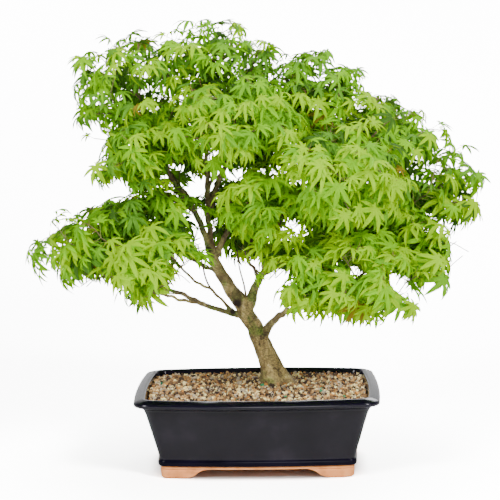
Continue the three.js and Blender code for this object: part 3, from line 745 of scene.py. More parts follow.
# %% Move the skin for ridges and knots
# Each knot: its place, its reach and its height. Each noise: height, breadth, length and shift
KNOTS = [((-27, 19, 203), 7, 2.2), ((-4, 22, 207), 7, 1.8), ((-14, 16, 190), 9, 1.2), ((12, 24, 138), 6, 1.1),
         ((24, 30, 118), 6, 0.9), ((-44, 8, 250), 4.5, 1.2), ((-30, 12, 226), 4.5, 1.0),
         ((0, 22, 152), 5, 0.9), ((13, 4, 251), 5, 1.6), ((-62, 8, 276), 5, 1.2)]
RIDGES = (0.42, 3.2, 15, 0)
LUMPS = (0.75, 9, 12, 40)
DIMPLE_DEPTH = 0.75
DIMPLE_REACH = 0.4
SMOOTH_FROM = 300
SMOOTH_OVER = 200
SMOOTH_SHARE = 0.25
FOOT_BLEND = 6


def read_vectors(items, key):
    """One vector for each item of a mesh, as rows of an array."""
    values = np.empty(len(items) * 3, dtype=np.float32)
    items.foreach_get(key, values)
    return values.reshape(-1, 3).astype(float)


def bark_noise(height, breadth, length, shift):
    """Noise of one height, with its own breadth round the limb and length up it."""
    return height * np.array([noise.noise(Vector((x / breadth, y / breadth, z / length + shift)))
                              for x, y, z in own_mm])


grown = bark.data
skin = read_vectors(grown.vertices, "co")
normals = read_vectors(grown.vertex_normals, "vector")
own_mm = (skin - POT_MIDDLE) / MM
foot_share = np.clip((SMOOTH_FROM - own_mm[:, 2]) / SMOOTH_OVER, SMOOTH_SHARE, 1)
push = foot_share * (bark_noise(*RIDGES) + bark_noise(*LUMPS))
for (x, y, z), reach, height in KNOTS:
    apart = np.linalg.norm(own_mm - np.array([x, y, z]), axis=1) / reach
    push += height * (np.exp(-apart ** 2) - DIMPLE_DEPTH * np.exp(-(apart / DIMPLE_REACH) ** 2))
rough_foot = np.clip((own_mm[:, 2] - SOIL_TOP) / FOOT_BLEND, 0, 1)
skin += normals * (push * rough_foot * MM)[:, None]
skin[:, 2] = np.maximum(skin[:, 2], SOIL_TOP * MM)
grown.vertices.foreach_set("co", skin.astype(np.float32).ravel())
grown.polygons.foreach_set("use_smooth", np.ones(len(grown.polygons), dtype=bool))
grown.update()
print("relief from", round(float(push.min()), 2), "to", round(float(push.max()), 2), "mm")

# %% Tell each point of the skin how stout its limb is
GIRTH_SAMPLES = 14
GIRTH_BLEND = 3.0
SAMPLES_PER_PLACE = 8
sample_points = KDTree(sum(len(limb.places) * SAMPLES_PER_PLACE for limb in LIMBS.values()))
sample_radii = []
for limb in LIMBS.values():
    for t in np.linspace(0, 1, len(limb.places) * SAMPLES_PER_PLACE):
        sample_points.insert(Vector(limb.point(t)), len(sample_radii))
        sample_radii.append(limb.radius(t))
sample_points.balance()


def girth_near(place):
    """Radius of the limb that carries a point of the skin, blended where limbs meet."""
    found = sample_points.find_n(Vector(place), GIRTH_SAMPLES)
    radii = np.array([sample_radii[index] for _, index, _ in found])
    depth = np.array([apart for _, _, apart in found]) - radii
    weight = np.exp(-(depth - depth.min()) / GIRTH_BLEND)
    return float((radii * weight).sum() / weight.sum())


girth = [girth_near(place) for place in own_mm]
grown.attributes.new("girth", "FLOAT", "POINT").data.foreach_set("value", np.array(girth, dtype=np.float32))
print("girth from", round(min(girth), 1), "to", round(max(girth), 1), "mm")

# %% Bark, moss and the skin of young twigs
WOOD = [(0.38, (0.115, 0.078, 0.033)), (0.46, (0.36, 0.262, 0.098)), (0.54, (0.63, 0.468, 0.170)),
        (0.64, (0.97, 0.80, 0.37))]
THIN_WOOD = [(0.36, (0.074, 0.054, 0.024)), (0.50, (0.228, 0.183, 0.064)), (0.64, (0.49, 0.41, 0.155))]
MOSS = [(0.40, (0.055, 0.105, 0.012)), (0.60, (0.20, 0.31, 0.035))]
OLD_SCAR = (0.030, 0.016, 0.009, 1)
STAIN = (0.12, 0.072, 0.032, 1)
THIN_TO_STOUT = (5.5, 10.5)
SCARS = [((-26, 13, 206), 8.5), ((14, 2, 253), 7.0), ((-31, 14, 196), 5.0), ((-61, 5, 279), 5.0)]


def spot_group():
    """A soft round spot about a place: a mask that is one there and fades out at its radius."""
    group, given, result = new_group("round spot", {"Place": "Vector", "Radius": "Float"}, ("Spot",))
    apart = vector_step(group, "DISTANCE", own_place(group), given["Place"])
    share = math_step(group, "DIVIDE", apart, given["Radius"])
    feed(group, result["Spot"], map_range(group, share, (0.55, 1.1), (1, 0)))
    return group


SPOT = spot_group()


def bark_material():
    """Tan, finely cracked wood low down, olive on the thin limbs, with moss, and dark old scars."""
    material, tree, shader = new_material("maple bark")
    lines = add_grain(tree, 70, 420, stretch=(1, 1, 0.45))[0]
    flecks = add_grain(tree, 420, 1400, stretch=(1, 1, 1.2))[0]
    patches = add_grain(tree, 34, 260)[0]
    stains = add_grain(tree, 60, 300, stretch=(1, 1, 0.5))[0]
    mix = add_node(tree, "ShaderNodeMix", data_type="FLOAT", Factor=0.4, A=lines, B=flecks)
    grain = mix.outputs["Result"]
    girth = add_node(tree, "ShaderNodeAttribute", attribute_name="girth").outputs["Fac"]
    stout = map_range(tree, girth, THIN_TO_STOUT, (0, 1))
    mossy = map_range(tree, patches, (0.51, 0.59), (0, 0.72))
    stained = map_range(tree, stains, (0.50, 0.62), (0, 0.7))
    splashed = map_range(tree, own_height(tree), ((SOIL_TOP + 1) * MM, (SOIL_TOP + 10) * MM), (0.75, 0))
    colour = blend_colours(tree, stout, ramp(tree, grain, THIN_WOOD), ramp(tree, grain, WOOD))
    colour = blend_colours(tree, mossy, colour, ramp(tree, flecks, MOSS))
    colour = blend_colours(tree, stained, colour, STAIN)
    colour = blend_colours(tree, splashed, colour, STAIN)
    for place, radius in SCARS:
        spot = add_node(tree, "ShaderNodeGroup", node_tree=SPOT, Place=placed(place), Radius=radius * MM)
        colour = blend_colours(tree, spot.outputs["Spot"], colour, OLD_SCAR)
    set_up(tree, shader, Base_Color=colour, Roughness=0.8)
    add_bump(tree, grain, shader, 0.9, 0.0016)
    return material


def shoot_material(name, young, old):
    return grained_material(name, (45, 500), [(0.4, young), (0.62, old)], 0.55, (0.3, 0.0003))


bark.data.materials.clear()
bark.data.materials.append(bark_material())
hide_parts(*["trunk"] + ["bough_" + name for name in BOUGHS])
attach(bark, "root")
print("bark replaces", 1 + len(BOUGHS), "limbs")

# %% [markdown]
# ## How the crown grows
#
# Each mass of foliage hangs on one bough and keeps to its own space: a flat round pad round a middle,
# cut off about half way to each neighbour. The growth follows the rule of the construction, only finer. A
# stem runs in from the bough's tip. Then shoot after shoot is added: its tip goes where there is most
# room in the mass, and it starts from the joint that costs the least, counting the way to the tip and
# the way back to the bough. That is how real twigs share the light, and it leaves sky between masses.
#
# A crown also has gaps where light falls through. Those that the photograph shows are ovals on the
# trunk's plane, and no leaf is set where the line of sight to it passes one.

# %% The spaces of the masses
# Each mass: the bough that it hangs on, its middle and its reach
MASSES = {
    "low_left_tip": ("low_left", (-206, -20, 286), 86),
    "low_left_front": ("low_left_front", (-128, -88, 268), 76),
    "low_left_top": ("inner_left", (-128, -26, 314), 82),
    "low_left_back": ("left_back", (-150, 96, 288), 90),
    "centre_low": ("right_mid", (72, -66, 260), 85),
    "centre_middle": ("right_mid_up", (36, -84, 344), 82),
    "back_low": ("right_mid_back", (-12, 122, 312), 92),
    "right_far": ("right_long", (208, 8, 358), 94),
    "right_back": ("right_back", (140, 118, 304), 98),
    "low_right_front": ("low_right", (136, -80, 256), 88),
    "low_right_far": ("low_right_far", (202, -30, 276), 86),
    "top_left": ("leader_left", (-150, -12, 488), 100),
    "upper_left": ("upper_left", (-142, -54, 408), 78),
    "upper_left_back": ("upper_left_back", (-122, 108, 402), 94),
    "top": ("leader_centre", (-48, -8, 505), 96),
    "crown_back": ("crown_back", (-12, 128, 432), 100),
    "top_right": ("top_right", (56, 0, 474), 98),
    "crown_front": ("crown_front", (-22, -106, 446), 88),
    "right_upper": ("right_upper", (150, 0, 416), 99),
    "right_front": ("right_upper_front", (104, -120, 384), 98),
    "right_upper_back": ("right_upper_back", (128, 126, 404), 98),
}
FLATNESS = 1.35
OVERREACH = 1.08
CROWN_RADIUS = 250
CROWN_FOOT = 190
CROWN_HEIGHT = 360

mass_names = list(MASSES)
mass_middles = np.array([MASSES[name][1] for name in mass_names], dtype=float)
mass_reach = np.array([MASSES[name][2] for name in mass_names], dtype=float)
ROUND = np.array([1, 1, FLATNESS])
round_middles = mass_middles * ROUND


def share_of_reach(points, own):
    """How far points lie from their mass's middle, as a share of its reach."""
    return np.linalg.norm(points * ROUND - round_middles[own], axis=-1) / mass_reach[own]


def room_to_neighbours(points, own):
    """How far points lie on their own side of the nearest border with another mass, in mm."""
    power = (((points * ROUND)[:, None] - round_middles) ** 2).sum(axis=2) - mass_reach ** 2
    apart = 2 * np.linalg.norm(round_middles - round_middles[own], axis=1)
    apart[own] = 1
    side = (power - power[:, [own]]) / apart
    side[:, own] = np.inf
    return side.min(axis=1) / FLATNESS


# Where the photograph shows sky in the crown or close round it, and in the last two the upper trunk. Each
# lies on the trunk's plane, seen from the standpoint: across, up, half the width, half the height, in mm
STANDPOINT = np.array([46.9, -2300, 543])
SKY_GAPS = np.array([
    (-113, 215, 11, 10), (-42, 210, 11, 13), (-175, 358, 10, 11), (18, 230, 11, 11),
    (-56, 232, 9, 15), (-73, 237, 9, 11), (-64, 214, 15, 11), (-83, 253, 11, 9),
    (-90, 226, 17, 8), (29, 238, 9, 11), (50, 301, 10, 10), (5, 193, 10, 9),
    (200, 213, 8, 11), (-103, 377, 10, 9), (-91, 241, 10, 9),
    (-93, 212, 13, 7), (16, 208, 7, 12), (188, 226, 7, 12),
    (-101, 263, 10, 8), (9, 221, 8, 9), (177, 227, 7, 11), (220, 224, 11, 8),
    (1, 208, 7, 9), (-54, 389, 10, 10), (-22, 227, 7, 11), (-130, 201, 9, 7),
    (-11, 243, 7, 8), (-171, 202, 7, 7), (127, 248, 7, 8), (32, 294, 6, 8),
    (113, 240, 9, 6), (-152, 200, 8, 5), (-10, 230, 5, 8), (147, 485, 8, 5),
    (-208, 394, 13, 20), (-223, 411, 10, 8), (259, 285, 11, 10), (-211, 222, 30, 14),
    (-262, 240, 10, 11), (-215, 334, 16, 11), (-272, 300, 16, 12), (263, 250, 16, 12),
    (270, 268, 22, 22), (249, 237, 8, 12), (117, 242, 11, 9), (224, 426, 11, 12),
    (221, 470, 16, 18), (204, 456, 10, 7), (-246, 486, 9, 10), (-200, 427, 8, 13),
    (51, 299, 9, 9), (-196, 537, 14, 6), (174, 188, 10, 7), (-171, 561, 14, 13),
    (-67, 292, 10, 14), (-74, 316, 9, 11),
])
GAP_SHARE = 0.95
LIMB_SAMPLES = 40


def shows_sky(points):
    """Whether any of the points would stand in a gap of the crown."""
    sight = points - STANDPOINT
    on_plane = STANDPOINT + sight * (-STANDPOINT[1] / sight[:, 1])[:, None]
    across = (on_plane[:, None, 0] - SKY_GAPS[:, 0]) / SKY_GAPS[:, 2]
    up = (on_plane[:, None, 2] - SKY_GAPS[:, 1]) / SKY_GAPS[:, 3]
    return bool((across ** 2 + up ** 2 < GAP_SHARE ** 2).any())


along_limbs = [(limb, t) for limb in LIMBS.values() for t in np.linspace(0, 1, LIMB_SAMPLES)]
limb_points = np.array([limb.point(t) for limb, t in along_limbs])
limb_radii = np.array([limb.radius(t) for limb, t in along_limbs])


def clear_of_limbs(point, clearance):
    return bool((np.linalg.norm(limb_points - point, axis=1) > limb_radii + clearance).all())


print("masses:", len(mass_names), "reach", mass_reach.min(), "to", mass_reach.max(), "mm")

# %% Grow the shoots of every mass
SHOOTS_PER_REACH = 0.335
SHOOT_ZONE = (0.2, 0.84)
SHOOT_CHOICES = 60
SHOOT_EDGE = 2
SHOOT_OUTWARD = 0.42
SHOOT_CLEARANCE = 5
SHOOT_ARCH = 0.07
ELBOW_SCATTER = 0.06
PATH_WEIGHT = 0.35
STEM_STRAIGHT = 10
STEM_REACH = 0.75


def roomiest_place(own, tips, chance):
    """Of many places in a mass, the one that is farthest from every shoot's tip so far."""
    level = chance.uniform(-1, 1, SHOOT_CHOICES)
    turn = chance.uniform(0, 2 * math.pi, SHOOT_CHOICES)
    inner, outer = SHOOT_ZONE
    share = inner + (outer - inner) * chance.random(SHOOT_CHOICES) ** SHOOT_OUTWARD
    reach = mass_reach[own] * share
    flat = np.sqrt(1 - level ** 2)
    offsets = np.stack([flat * np.cos(turn), flat * np.sin(turn), level / FLATNESS], axis=1)
    places = mass_middles[own] + offsets * reach[:, None]
    fits = room_to_neighbours(places, own) > SHOOT_EDGE
    if not fits.any():
        return None
    if not tips:
        return places[np.argmax(fits)]
    room = np.linalg.norm(places[:, None] - np.array(tips)[None], axis=2).min(axis=1)
    return places[np.argmax(np.where(fits, room, -1))]


def grow_mass(own, tips, chance):
    """The joints of one mass's twigs: a place, the joint below it, and the way back to the bough."""
    limb = LIMBS[MASSES[mass_names[own]][0]]
    along = limb.direction(1)
    foot = limb.point(1)
    joints = [(foot - along * 2, -1, 0.0)]

    def grow(parent, place):
        joints.append((place, parent, joints[parent][2] + float(np.linalg.norm(place - joints[parent][0]))))
        return len(joints) - 1

    knee = grow(0, foot + along * STEM_STRAIGHT)
    grow(knee, foot + (mass_middles[own] - foot) * STEM_REACH)
    targets = []
    for _ in range(int(mass_reach[own] * SHOOTS_PER_REACH)):
        place = roomiest_place(own, tips + targets, chance)
        if place is not None and clear_of_limbs(place, SHOOT_CLEARANCE):
            targets.append(place)
    targets.sort(key=lambda place: float(np.linalg.norm(place - foot)))
    for target in targets:
        costs = [np.linalg.norm(place - target) + PATH_WEIGHT * path for place, _, path in joints[1:]]
        nearest = 1 + int(np.argmin(costs))
        start = joints[nearest][0]
        elbow = (start + target) / 2
        elbow = elbow + chance.uniform(-1, 1, 3) * ELBOW_SCATTER * np.linalg.norm(target - start)
        elbow[2] += SHOOT_ARCH * np.linalg.norm(target - start)
        grow(grow(nearest, elbow), target)
    tips.extend(targets)
    return joints


chance = np.random.default_rng(2026)
all_tips = []
grown_masses = [grow_mass(own, all_tips, chance) for own in range(len(mass_names))]
print("shoots:", len(all_tips), "joints:", sum(len(joints) for joints in grown_masses))

# %% [markdown]
# ## Twigs
#
# A twig is as thick as the shoots that it carries need, so its radius follows from how many tips lie
# beyond it. Each twig is followed from its start to its tip as one chain of joints, smoothed, and
# lofted with five sides. The youngest wood is green to red-brown, and the older is like the bark. A few
# bare shoots stand in the open middle, where the tree lost its leaves for want of light.

# %% Loft the twigs
TWIG_TIP_RADIUS = 0.62
TWIG_THICKENING = 0.4
TWIG_SIDES = 5
TWIG_START = 1.15
STEM_JOINTS = 2


def twig_chains(joints):
    """Chains of joint numbers from each twig's start to its tip, and the radius at every joint."""
    load = [0] * len(joints)
    children = [[] for _ in joints]
    for i, (_, parent, _) in enumerate(joints):
        if parent >= 0:
            children[parent].append(i)
    for i in range(len(joints) - 1, -1, -1):
        load[i] = max(load[i], 1)
        if joints[i][1] >= 0:
            load[joints[i][1]] += load[i]
    chains, waiting = [], [(None, 0)]
    while waiting:
        start, here = waiting.pop()
        chain = [] if start is None else [start]
        while here is not None:
            chain.append(here)
            following = sorted(children[here], key=lambda child: -load[child])
            waiting.extend((here, child) for child in following[1:])
            here = following[0] if following else None
        chains.append(chain)
    radii = [TWIG_TIP_RADIUS * n ** TWIG_THICKENING for n in load]
    return chains, radii


BARE_SHOOTS = [
    [(-14, 18, 214), (-17, 16, 232), (-22, 15, 252), (-25, 15, 276)],
    [(-58, 3, 225), (-65, 3, 240), (-70, 3, 262), (-75, 4, 284)],
    [(-50, 14, 247), (-66, 8, 258), (-84, 2, 266), (-104, -4, 282)],
    [(6, 14, 244), (-4, 12, 254), (-12, 10, 266), (-16, 8, 280)],
]
BARE_RADII = (1.5, 0.9)
BARE_RINGS = 14

twig_tubes = []
shoots = []
for own, joints in enumerate(grown_masses):
    chains, radii = twig_chains(joints)
    for chain in chains:
        places = [joints[i][0] for i in chain]
        first = min(radii[chain[0]], radii[chain[1]] * TWIG_START) if chain[0] else radii[chain[0]]
        twig = Limb(places, [first] + [radii[i] for i in chain[1:]])
        twig_tubes.append((twig, max(4, 3 * len(chain))))
        for k in range(1, len(chain)):
            if chain[k] <= STEM_JOINTS:
                continue
            spans = len(chain) - 1
            for t in ((k - 0.5) / spans, k / spans):
                shoots.append((twig.point(t), twig.direction(t), own, t == 1))
for places in BARE_SHOOTS:
    twig_tubes.append((Limb(places, np.linspace(*BARE_RADII, len(places))), BARE_RINGS))
parts = []
for twig, ring_count in twig_tubes:
    rings = [twig.point(t) + twig.radius(t) * ring_round(twig.direction(t), TWIG_SIDES)
             for t in np.linspace(0, 1, ring_count)]
    parts.append((np.concatenate(rings), ring_triangles(ring_count, TWIG_SIDES, False)))
points, triangles = gather(parts)
twigs = mesh_piece("twigs", placed(points), triangles)
twigs.data.materials.append(shoot_material("young wood", (0.16, 0.14, 0.045), (0.13, 0.065, 0.035)))
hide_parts(*["foliage_" + name for name in mass_names])
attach(twigs, "root")
print("twigs:", len(twig_tubes), "with", len(triangles), "triangles, seats for leaves:", len(shoots))

# %% [markdown]
# ## One leaf
#
# The leaf of this maple is a hand of seven slim, pointed lobes that part almost down to the stalk. Each
# lobe is folded along its rib, has small teeth along its edge, and bends down towards its tip. A picture
# of a leaf on a flat card would be cheaper, but its edge would look cut out from close by. So the blade
# is a real outline of 112 triangles, built lobe by lobe as strips on each side of the rib, and left with
# flat shading so that the folds stay crisp. Six blades with different droop keep neighbours unlike.

# %% Build the blades
LOBE_ANGLES = (-124, -82, -41, 0, 41, 82, 124)
LOBE_LENGTHS = (0.32, 0.68, 0.93, 1.0, 0.93, 0.68, 0.32)
LOBE_WIDTHS = (0.046, 0.078, 0.096, 0.104, 0.096, 0.078, 0.046)
LOBE_OUTLINE = (0.55, 0.92, 1.0, 0.52, 0.0)
PART_REACH = (0.06, 0.16, 0.21, 0.24, 0.24, 0.21, 0.16, 0.06)
PART_ANGLES = (-160, -103, -61.5, -20.5, 20.5, 61.5, 103, 160)
TOOTH_SHARE = 0.06
TOOTH_SHIFT = 0.02
LOBE_START = 0.04
PART_RISE = 0.012
FOLD = 0.48
CURLS = (0.4, 0.65, 0.9, 1.15, 1.4, 0.8)
LOBE_TURN = (-5, 5)
LOBE_STRETCH = (0.90, 1.07)
LOBE_CURL = (0.7, 1.3)


def leaf_blade(curl, chance):
    """Points and triangles of a blade one unit long, stalk at zero, middle lobe along +X, face up."""
    lobe_turn = chance.uniform(*LOBE_TURN, len(LOBE_ANGLES))
    lobe_length = chance.uniform(*LOBE_STRETCH, len(LOBE_ANGLES))
    lobe_curl = curl * chance.uniform(*LOBE_CURL, len(LOBE_ANGLES))
    points = [(0, 0, 0)]
    triangles = []

    def bent(x, y, lift, curl):
        """Rolls the flat blade down along an arc, more the farther from the stalk."""
        reach = max(math.hypot(x, y), 1e-6)
        shrink = math.sin(curl * reach) / (curl * reach)
        return (x * shrink, y * shrink, lift - (1 - math.cos(curl * reach)) / curl)

    parting = []
    for angle, reach in zip(PART_ANGLES, PART_REACH):
        parting.append(len(points))
        turn = math.radians(angle)
        points.append(bent(reach * math.cos(turn), reach * math.sin(turn), PART_RISE, curl))
    stations = len(LOBE_OUTLINE)
    for k, angle in enumerate(LOBE_ANGLES):
        turn = math.radians(angle + lobe_turn[k])
        long = LOBE_LENGTHS[k] * lobe_length[k]
        along = (math.cos(turn), math.sin(turn))
        start = min(PART_REACH[k], PART_REACH[k + 1]) + LOBE_START
        mids, rights, lefts = [], [parting[k]], [parting[k + 1]]
        for i in range(stations):
            u = i / (stations - 1)
            reach = start + (long - start) * u
            mids.append(len(points))
            points.append(bent(along[0] * reach, along[1] * reach, 0, lobe_curl[k]))
            if 0 < i < stations - 1:
                tooth = 1 if i % 2 else -1
                half = LOBE_WIDTHS[k] * LOBE_OUTLINE[i] * (1 + TOOTH_SHARE * tooth)
                back = reach + TOOTH_SHIFT * tooth
                for edge, sign in ((lefts, 1), (rights, -1)):
                    edge.append(len(points))
                    points.append(bent(along[0] * back - sign * along[1] * half,
                                       along[1] * back + sign * along[0] * half, FOLD * half, lobe_curl[k]))
        triangles.append((0, parting[k], mids[0]))
        triangles.append((0, mids[0], parting[k + 1]))
        for i in range(stations - 2):
            triangles.append((mids[i], rights[i], rights[i + 1]))
            triangles.append((mids[i], rights[i + 1], mids[i + 1]))
            triangles.append((mids[i], mids[i + 1], lefts[i + 1]))
            triangles.append((mids[i], lefts[i + 1], lefts[i]))
        triangles.append((mids[-2], rights[-1], mids[-1]))
        triangles.append((mids[-2], mids[-1], lefts[-1]))
    return np.array(points), np.array(triangles)


chance = np.random.default_rng(5)
BLADES = [leaf_blade(curl, chance) for curl in CURLS]
print("blades:", len(BLADES), "of", len(BLADES[0][1]), "triangles")

# %% [markdown]
# ## Leaves on the shoots
#
# Maple leaves stand in opposite pairs on stalks as long as half a leaf, with a small bright pair at
# the tip of a growing shoot. A blade faces up and away from the middle of the crown, towards the
# light, and hangs a little, more so on the low side of a mass. Leaves high up are a little smaller.
# Colours are dealt out by shoot, as painted light and shade. The outer shoots and those in front get
# the lighter greens, a painted light, and the inner ones, above all those low at the back, the deeper,
# a painted shade, so the crown has depth before any light falls on it. High shoots are painted deeper
# too, because the lamps hit them hardest. Young tip leaves are a step lighter in their own colour.

# %% Set the leaves
LEAF_LENGTH = 30
LEAF_SPREAD = (0.74, 1.28)
YOUNG_SHARE = 0.75
YOUNG_STALK = 0.6
HIGH_LEAF_CUT = 0.22
STALK_LENGTH = (12, 22)
STALK_RADIUS = 0.45
PAIR_TURNS = [58, -58]
TIP_TURNS = [18, -22]
PAIR_SET_BACK = 5
TURN_SCATTER = 16
HANG = (5, 38)
LOW_HANG = 26
LEAN_LOW = 0.95
LEAN_HIGH = 0.4
FACE_UP = 0.85
FACE_SCATTER = 0.34
HEAD_ALONG = 0.8
HEAD_OUT = 0.7
HEAD_SCATTER = 0.2
STALK_FORWARD = 0.9
STALK_RISE = 0.35
HUB_CLEARANCE = 4
LEAF_TRIES = 9
# Five greens, lightest to deepest, dealt out as painted light and shade, and bronze, a leaf colour of its own
GREENS = {
    "lightest": (0.310, 0.56, 0.001),
    "bright": (0.215, 0.50, 0.003),
    "clear": (0.160, 0.40, 0.014),
    "middle": (0.110, 0.275, 0.024),
    "deep": (0.060, 0.140, 0.020),
    "bronze": (0.26, 0.20, 0.02),
}
BRONZE_SHARE = 0.004
SUNK_SHADE = 0.3
SUNK_BEHIND = 50
SUNK_BELOW = 350
LIGHT_BASE = 0.26
LIGHT_BY_HEIGHT = -0.3
LIGHT_BY_REACH = 0.42
LIGHT_IN_FRONT = 0.34
LIGHT_SPREAD = 0.24
FRONT_DEPTH = 200
FULL_LIGHT = 0.93
TONE_STEPS = 5
green_names = list(GREENS)


def leaf_frame(place, along, turn, lowness, height_share, chance):
    """Where a leaf's stalk goes from a joint, and how its blade is turned."""
    outward = np.array([place[0] / CROWN_RADIUS, place[1] / CROWN_RADIUS, 0])
    lean = LEAN_LOW + (LEAN_HIGH - LEAN_LOW) * height_share
    face = np.array([0, 0, FACE_UP]) + lean * outward + chance.normal(0, FACE_SCATTER, 3) * (1, 1, 0.5)
    face = unit(face)
    heading = along * HEAD_ALONG + outward * HEAD_OUT + chance.normal(0, HEAD_SCATTER, 3)
    swing = math.radians(turn + chance.normal(0, TURN_SCATTER))
    heading = np.array(Matrix.Rotation(swing, 3, Vector(face)) @ Vector(heading))
    heading = unit(heading - face * float(heading @ face))
    stalk_way = unit(heading * STALK_FORWARD + face * STALK_RISE)
    hang = math.radians(chance.uniform(*HANG) + LOW_HANG * lowness)
    heading, face = (heading * math.cos(hang) - face * math.sin(hang),
                     face * math.cos(hang) + heading * math.sin(hang))
    return stalk_way, heading, face


# Tips and middles of the five long lobes, the middle one first, as shares of the length: along, side, up
SPREAD_TIPS = np.array([(0.87, 0, -0.42), (0.62, 0.54, -0.38), (0.62, -0.54, -0.38), (0.1, 0.62, -0.2),
                        (0.1, -0.62, -0.2), (0.48, 0, -0.12), (0.36, 0.31, -0.12), (0.36, -0.31, -0.12)])

leaves = {name: [] for name in green_names}
stalks = []
chance = np.random.default_rng(77)
for place, along, own, is_tip in shoots:
    height_share = np.clip((place[2] - CROWN_FOOT) / CROWN_HEIGHT, 0, 1)
    out_share = np.clip(share_of_reach(place, own), 0, 1)
    # Painted light and shade: the green is lighter far out and in front, deeper high up and low at the back
    sunk = SUNK_SHADE if place[1] > SUNK_BEHIND and place[2] < SUNK_BELOW else 0
    front_share = np.clip(0.5 - place[1] / FRONT_DEPTH, 0, 1.2)
    light = LIGHT_BASE + LIGHT_BY_HEIGHT * height_share + LIGHT_BY_REACH * out_share
    light += LIGHT_IN_FRONT * front_share - sunk + chance.normal(0, LIGHT_SPREAD)
    tone = int(np.clip(round((FULL_LIGHT - light) * TONE_STEPS), 0, 4))
    lowness = np.clip((mass_middles[own, 2] - place[2]) / (0.5 * mass_reach[own]), 0, 1)
    for k, turn in enumerate(PAIR_TURNS + TIP_TURNS if is_tip else PAIR_TURNS):
        young = is_tip and k >= 2
        for _ in range(LEAF_TRIES):
            length = LEAF_LENGTH * chance.uniform(*LEAF_SPREAD) * (YOUNG_SHARE if young else 1)
            length *= 1 - HIGH_LEAF_CUT * height_share
            stalk = chance.uniform(*STALK_LENGTH) * (YOUNG_STALK if young else 1)
            stalk_way, heading, face = leaf_frame(place, along, turn, lowness, height_share, chance)
            seat = place - along * (PAIR_SET_BACK if k < 2 else 0)
            hub = seat + stalk_way * stalk
            side = np.cross(face, heading)
            tips = hub + length * (SPREAD_TIPS @ np.array([heading, side, face]))
            inside = share_of_reach(tips[0], own) < OVERREACH
            if inside and clear_of_limbs(hub, HUB_CLEARANCE) and not shows_sky(tips):
                break
        else:
            continue
        green = green_names[max(0, tone - 1)] if young else green_names[tone]
        if chance.random() < BRONZE_SHARE:
            green = "bronze"
        leaves[green].append((hub, heading, face, length))
        stalks.append((seat, hub, stalk_way))
print("leaves:", {name: len(some) for name, some in leaves.items()}, "stalks:", len(stalks))

# %% Leaf finish: plain greens that let light through
LEAF_ROUGHNESS = 0.4
LEAF_SHINE = 0.02
LIGHT_THROUGH = 0.28
PASSED_TINT = (1.4, 1.25, 1)


def leaf_material(name, colour):
    """A satin blade whose lit side is its own green, with some light passing through it."""
    material, tree, shader = new_material(name)
    set_up(tree, shader, Base_Color=(*colour, 1), Roughness=LEAF_ROUGHNESS, Specular_IOR_Level=LEAF_SHINE)
    add_bump(tree, add_grain(tree, 60, 420)[1], shader, 0.35, 0.0005)
    passed = (*(min(1, c * tint) for c, tint in zip(colour, PASSED_TINT)), 1)
    through = add_node(tree, "ShaderNodeBsdfTranslucent", Color=passed)
    leaf = blend_shaders(tree, LIGHT_THROUGH, shader.outputs["BSDF"], through.outputs["BSDF"])
    feed(tree, tree.nodes["Material Output"].inputs["Surface"], leaf)
    return material


chance = np.random.default_rng(9)
for name, some in leaves.items():
    parts = []
    for hub, heading, face, length in some:
        points, triangles = BLADES[int(chance.integers(len(BLADES)))]
        side = np.cross(face, heading)
        mirror = -1 if chance.random() < 0.5 else 1
        turned = points * (1, mirror, 1) @ np.array([heading, side, face]) * length
        parts.append((hub + turned, triangles[:, ::mirror]))
    points, triangles = gather(parts)
    blades = mesh_piece("leaves_" + name, placed(points), triangles, smooth=False)
    blades.data.materials.append(leaf_material("leaf " + name, GREENS[name]))
    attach(blades, "root")
    print("leaves", name, len(triangles), "triangles")

# %% Leaf stalks
STALK_SIDES = 3
STALK_SAG = 0.08
STALK_TAPER = (1, 0.85, 0.7)


def stalk_tube(seat, hub, way):
    """A slim stalk that leaves the twig and curves up to the blade."""
    bend = (seat + hub) / 2 + np.array([0, 0, -STALK_SAG]) * np.linalg.norm(hub - seat)
    across = STALK_RADIUS * ring_round(way, STALK_SIDES)
    return np.concatenate([place + across * share for place, share in zip((seat, bend, hub), STALK_TAPER)])


stalk_faces = ring_triangles(3, STALK_SIDES, False)
points, triangles = gather([(stalk_tube(*stalk), stalk_faces) for stalk in stalks])
leaf_stalks = mesh_piece("leaf_stalks", placed(points), triangles)
leaf_stalks.data.materials.append(shoot_material("leaf stalk", (0.25, 0.36, 0.06), (0.32, 0.16, 0.06)))
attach(leaf_stalks, "root")
print("stalks:", len(stalks), "with", len(triangles), "triangles")

# %% [markdown]
# ## Studio
#
# The object stands on a seamless white sweep, the kind that is used for product pictures: a floor that
# turns up into a back wall with no line between them. Two soft lights stand at the upper right and the
# upper left, off the mirror line of the glaze, and the right one is a third stronger. A weak one lies
# low in front, and one above and one behind lift the edge of the crown. The world is dim, so that the
# glaze stays dark. A photographer lets white paper burn out: it is brighter to the camera than it is to
# the tree, and far off it is plain white. Right under the pot, where the real shadow falls, the paper is
# also painted dim to the camera, a painted shadow that ends just past the foot. Seen from behind, the
# sweep is open, so that the tree can be looked at from every side.

# %% The white sweep
SWEEP_HALF_WIDTH = 6.0
SWEEP_FRONT = -5.0
SWEEP_BACK = 2.6
SWEEP_TOP = 5.0
SWEEP_RADIUS = 1.2
SWEEP_STEPS = 16
SHADOW_REACH = (0.98, 1.35)
PAPER_BRIGHTNESS = (0.5, 7.0)
FAR_WHITE = 16.0
FAR_PAPER = (1.3, 3.0)


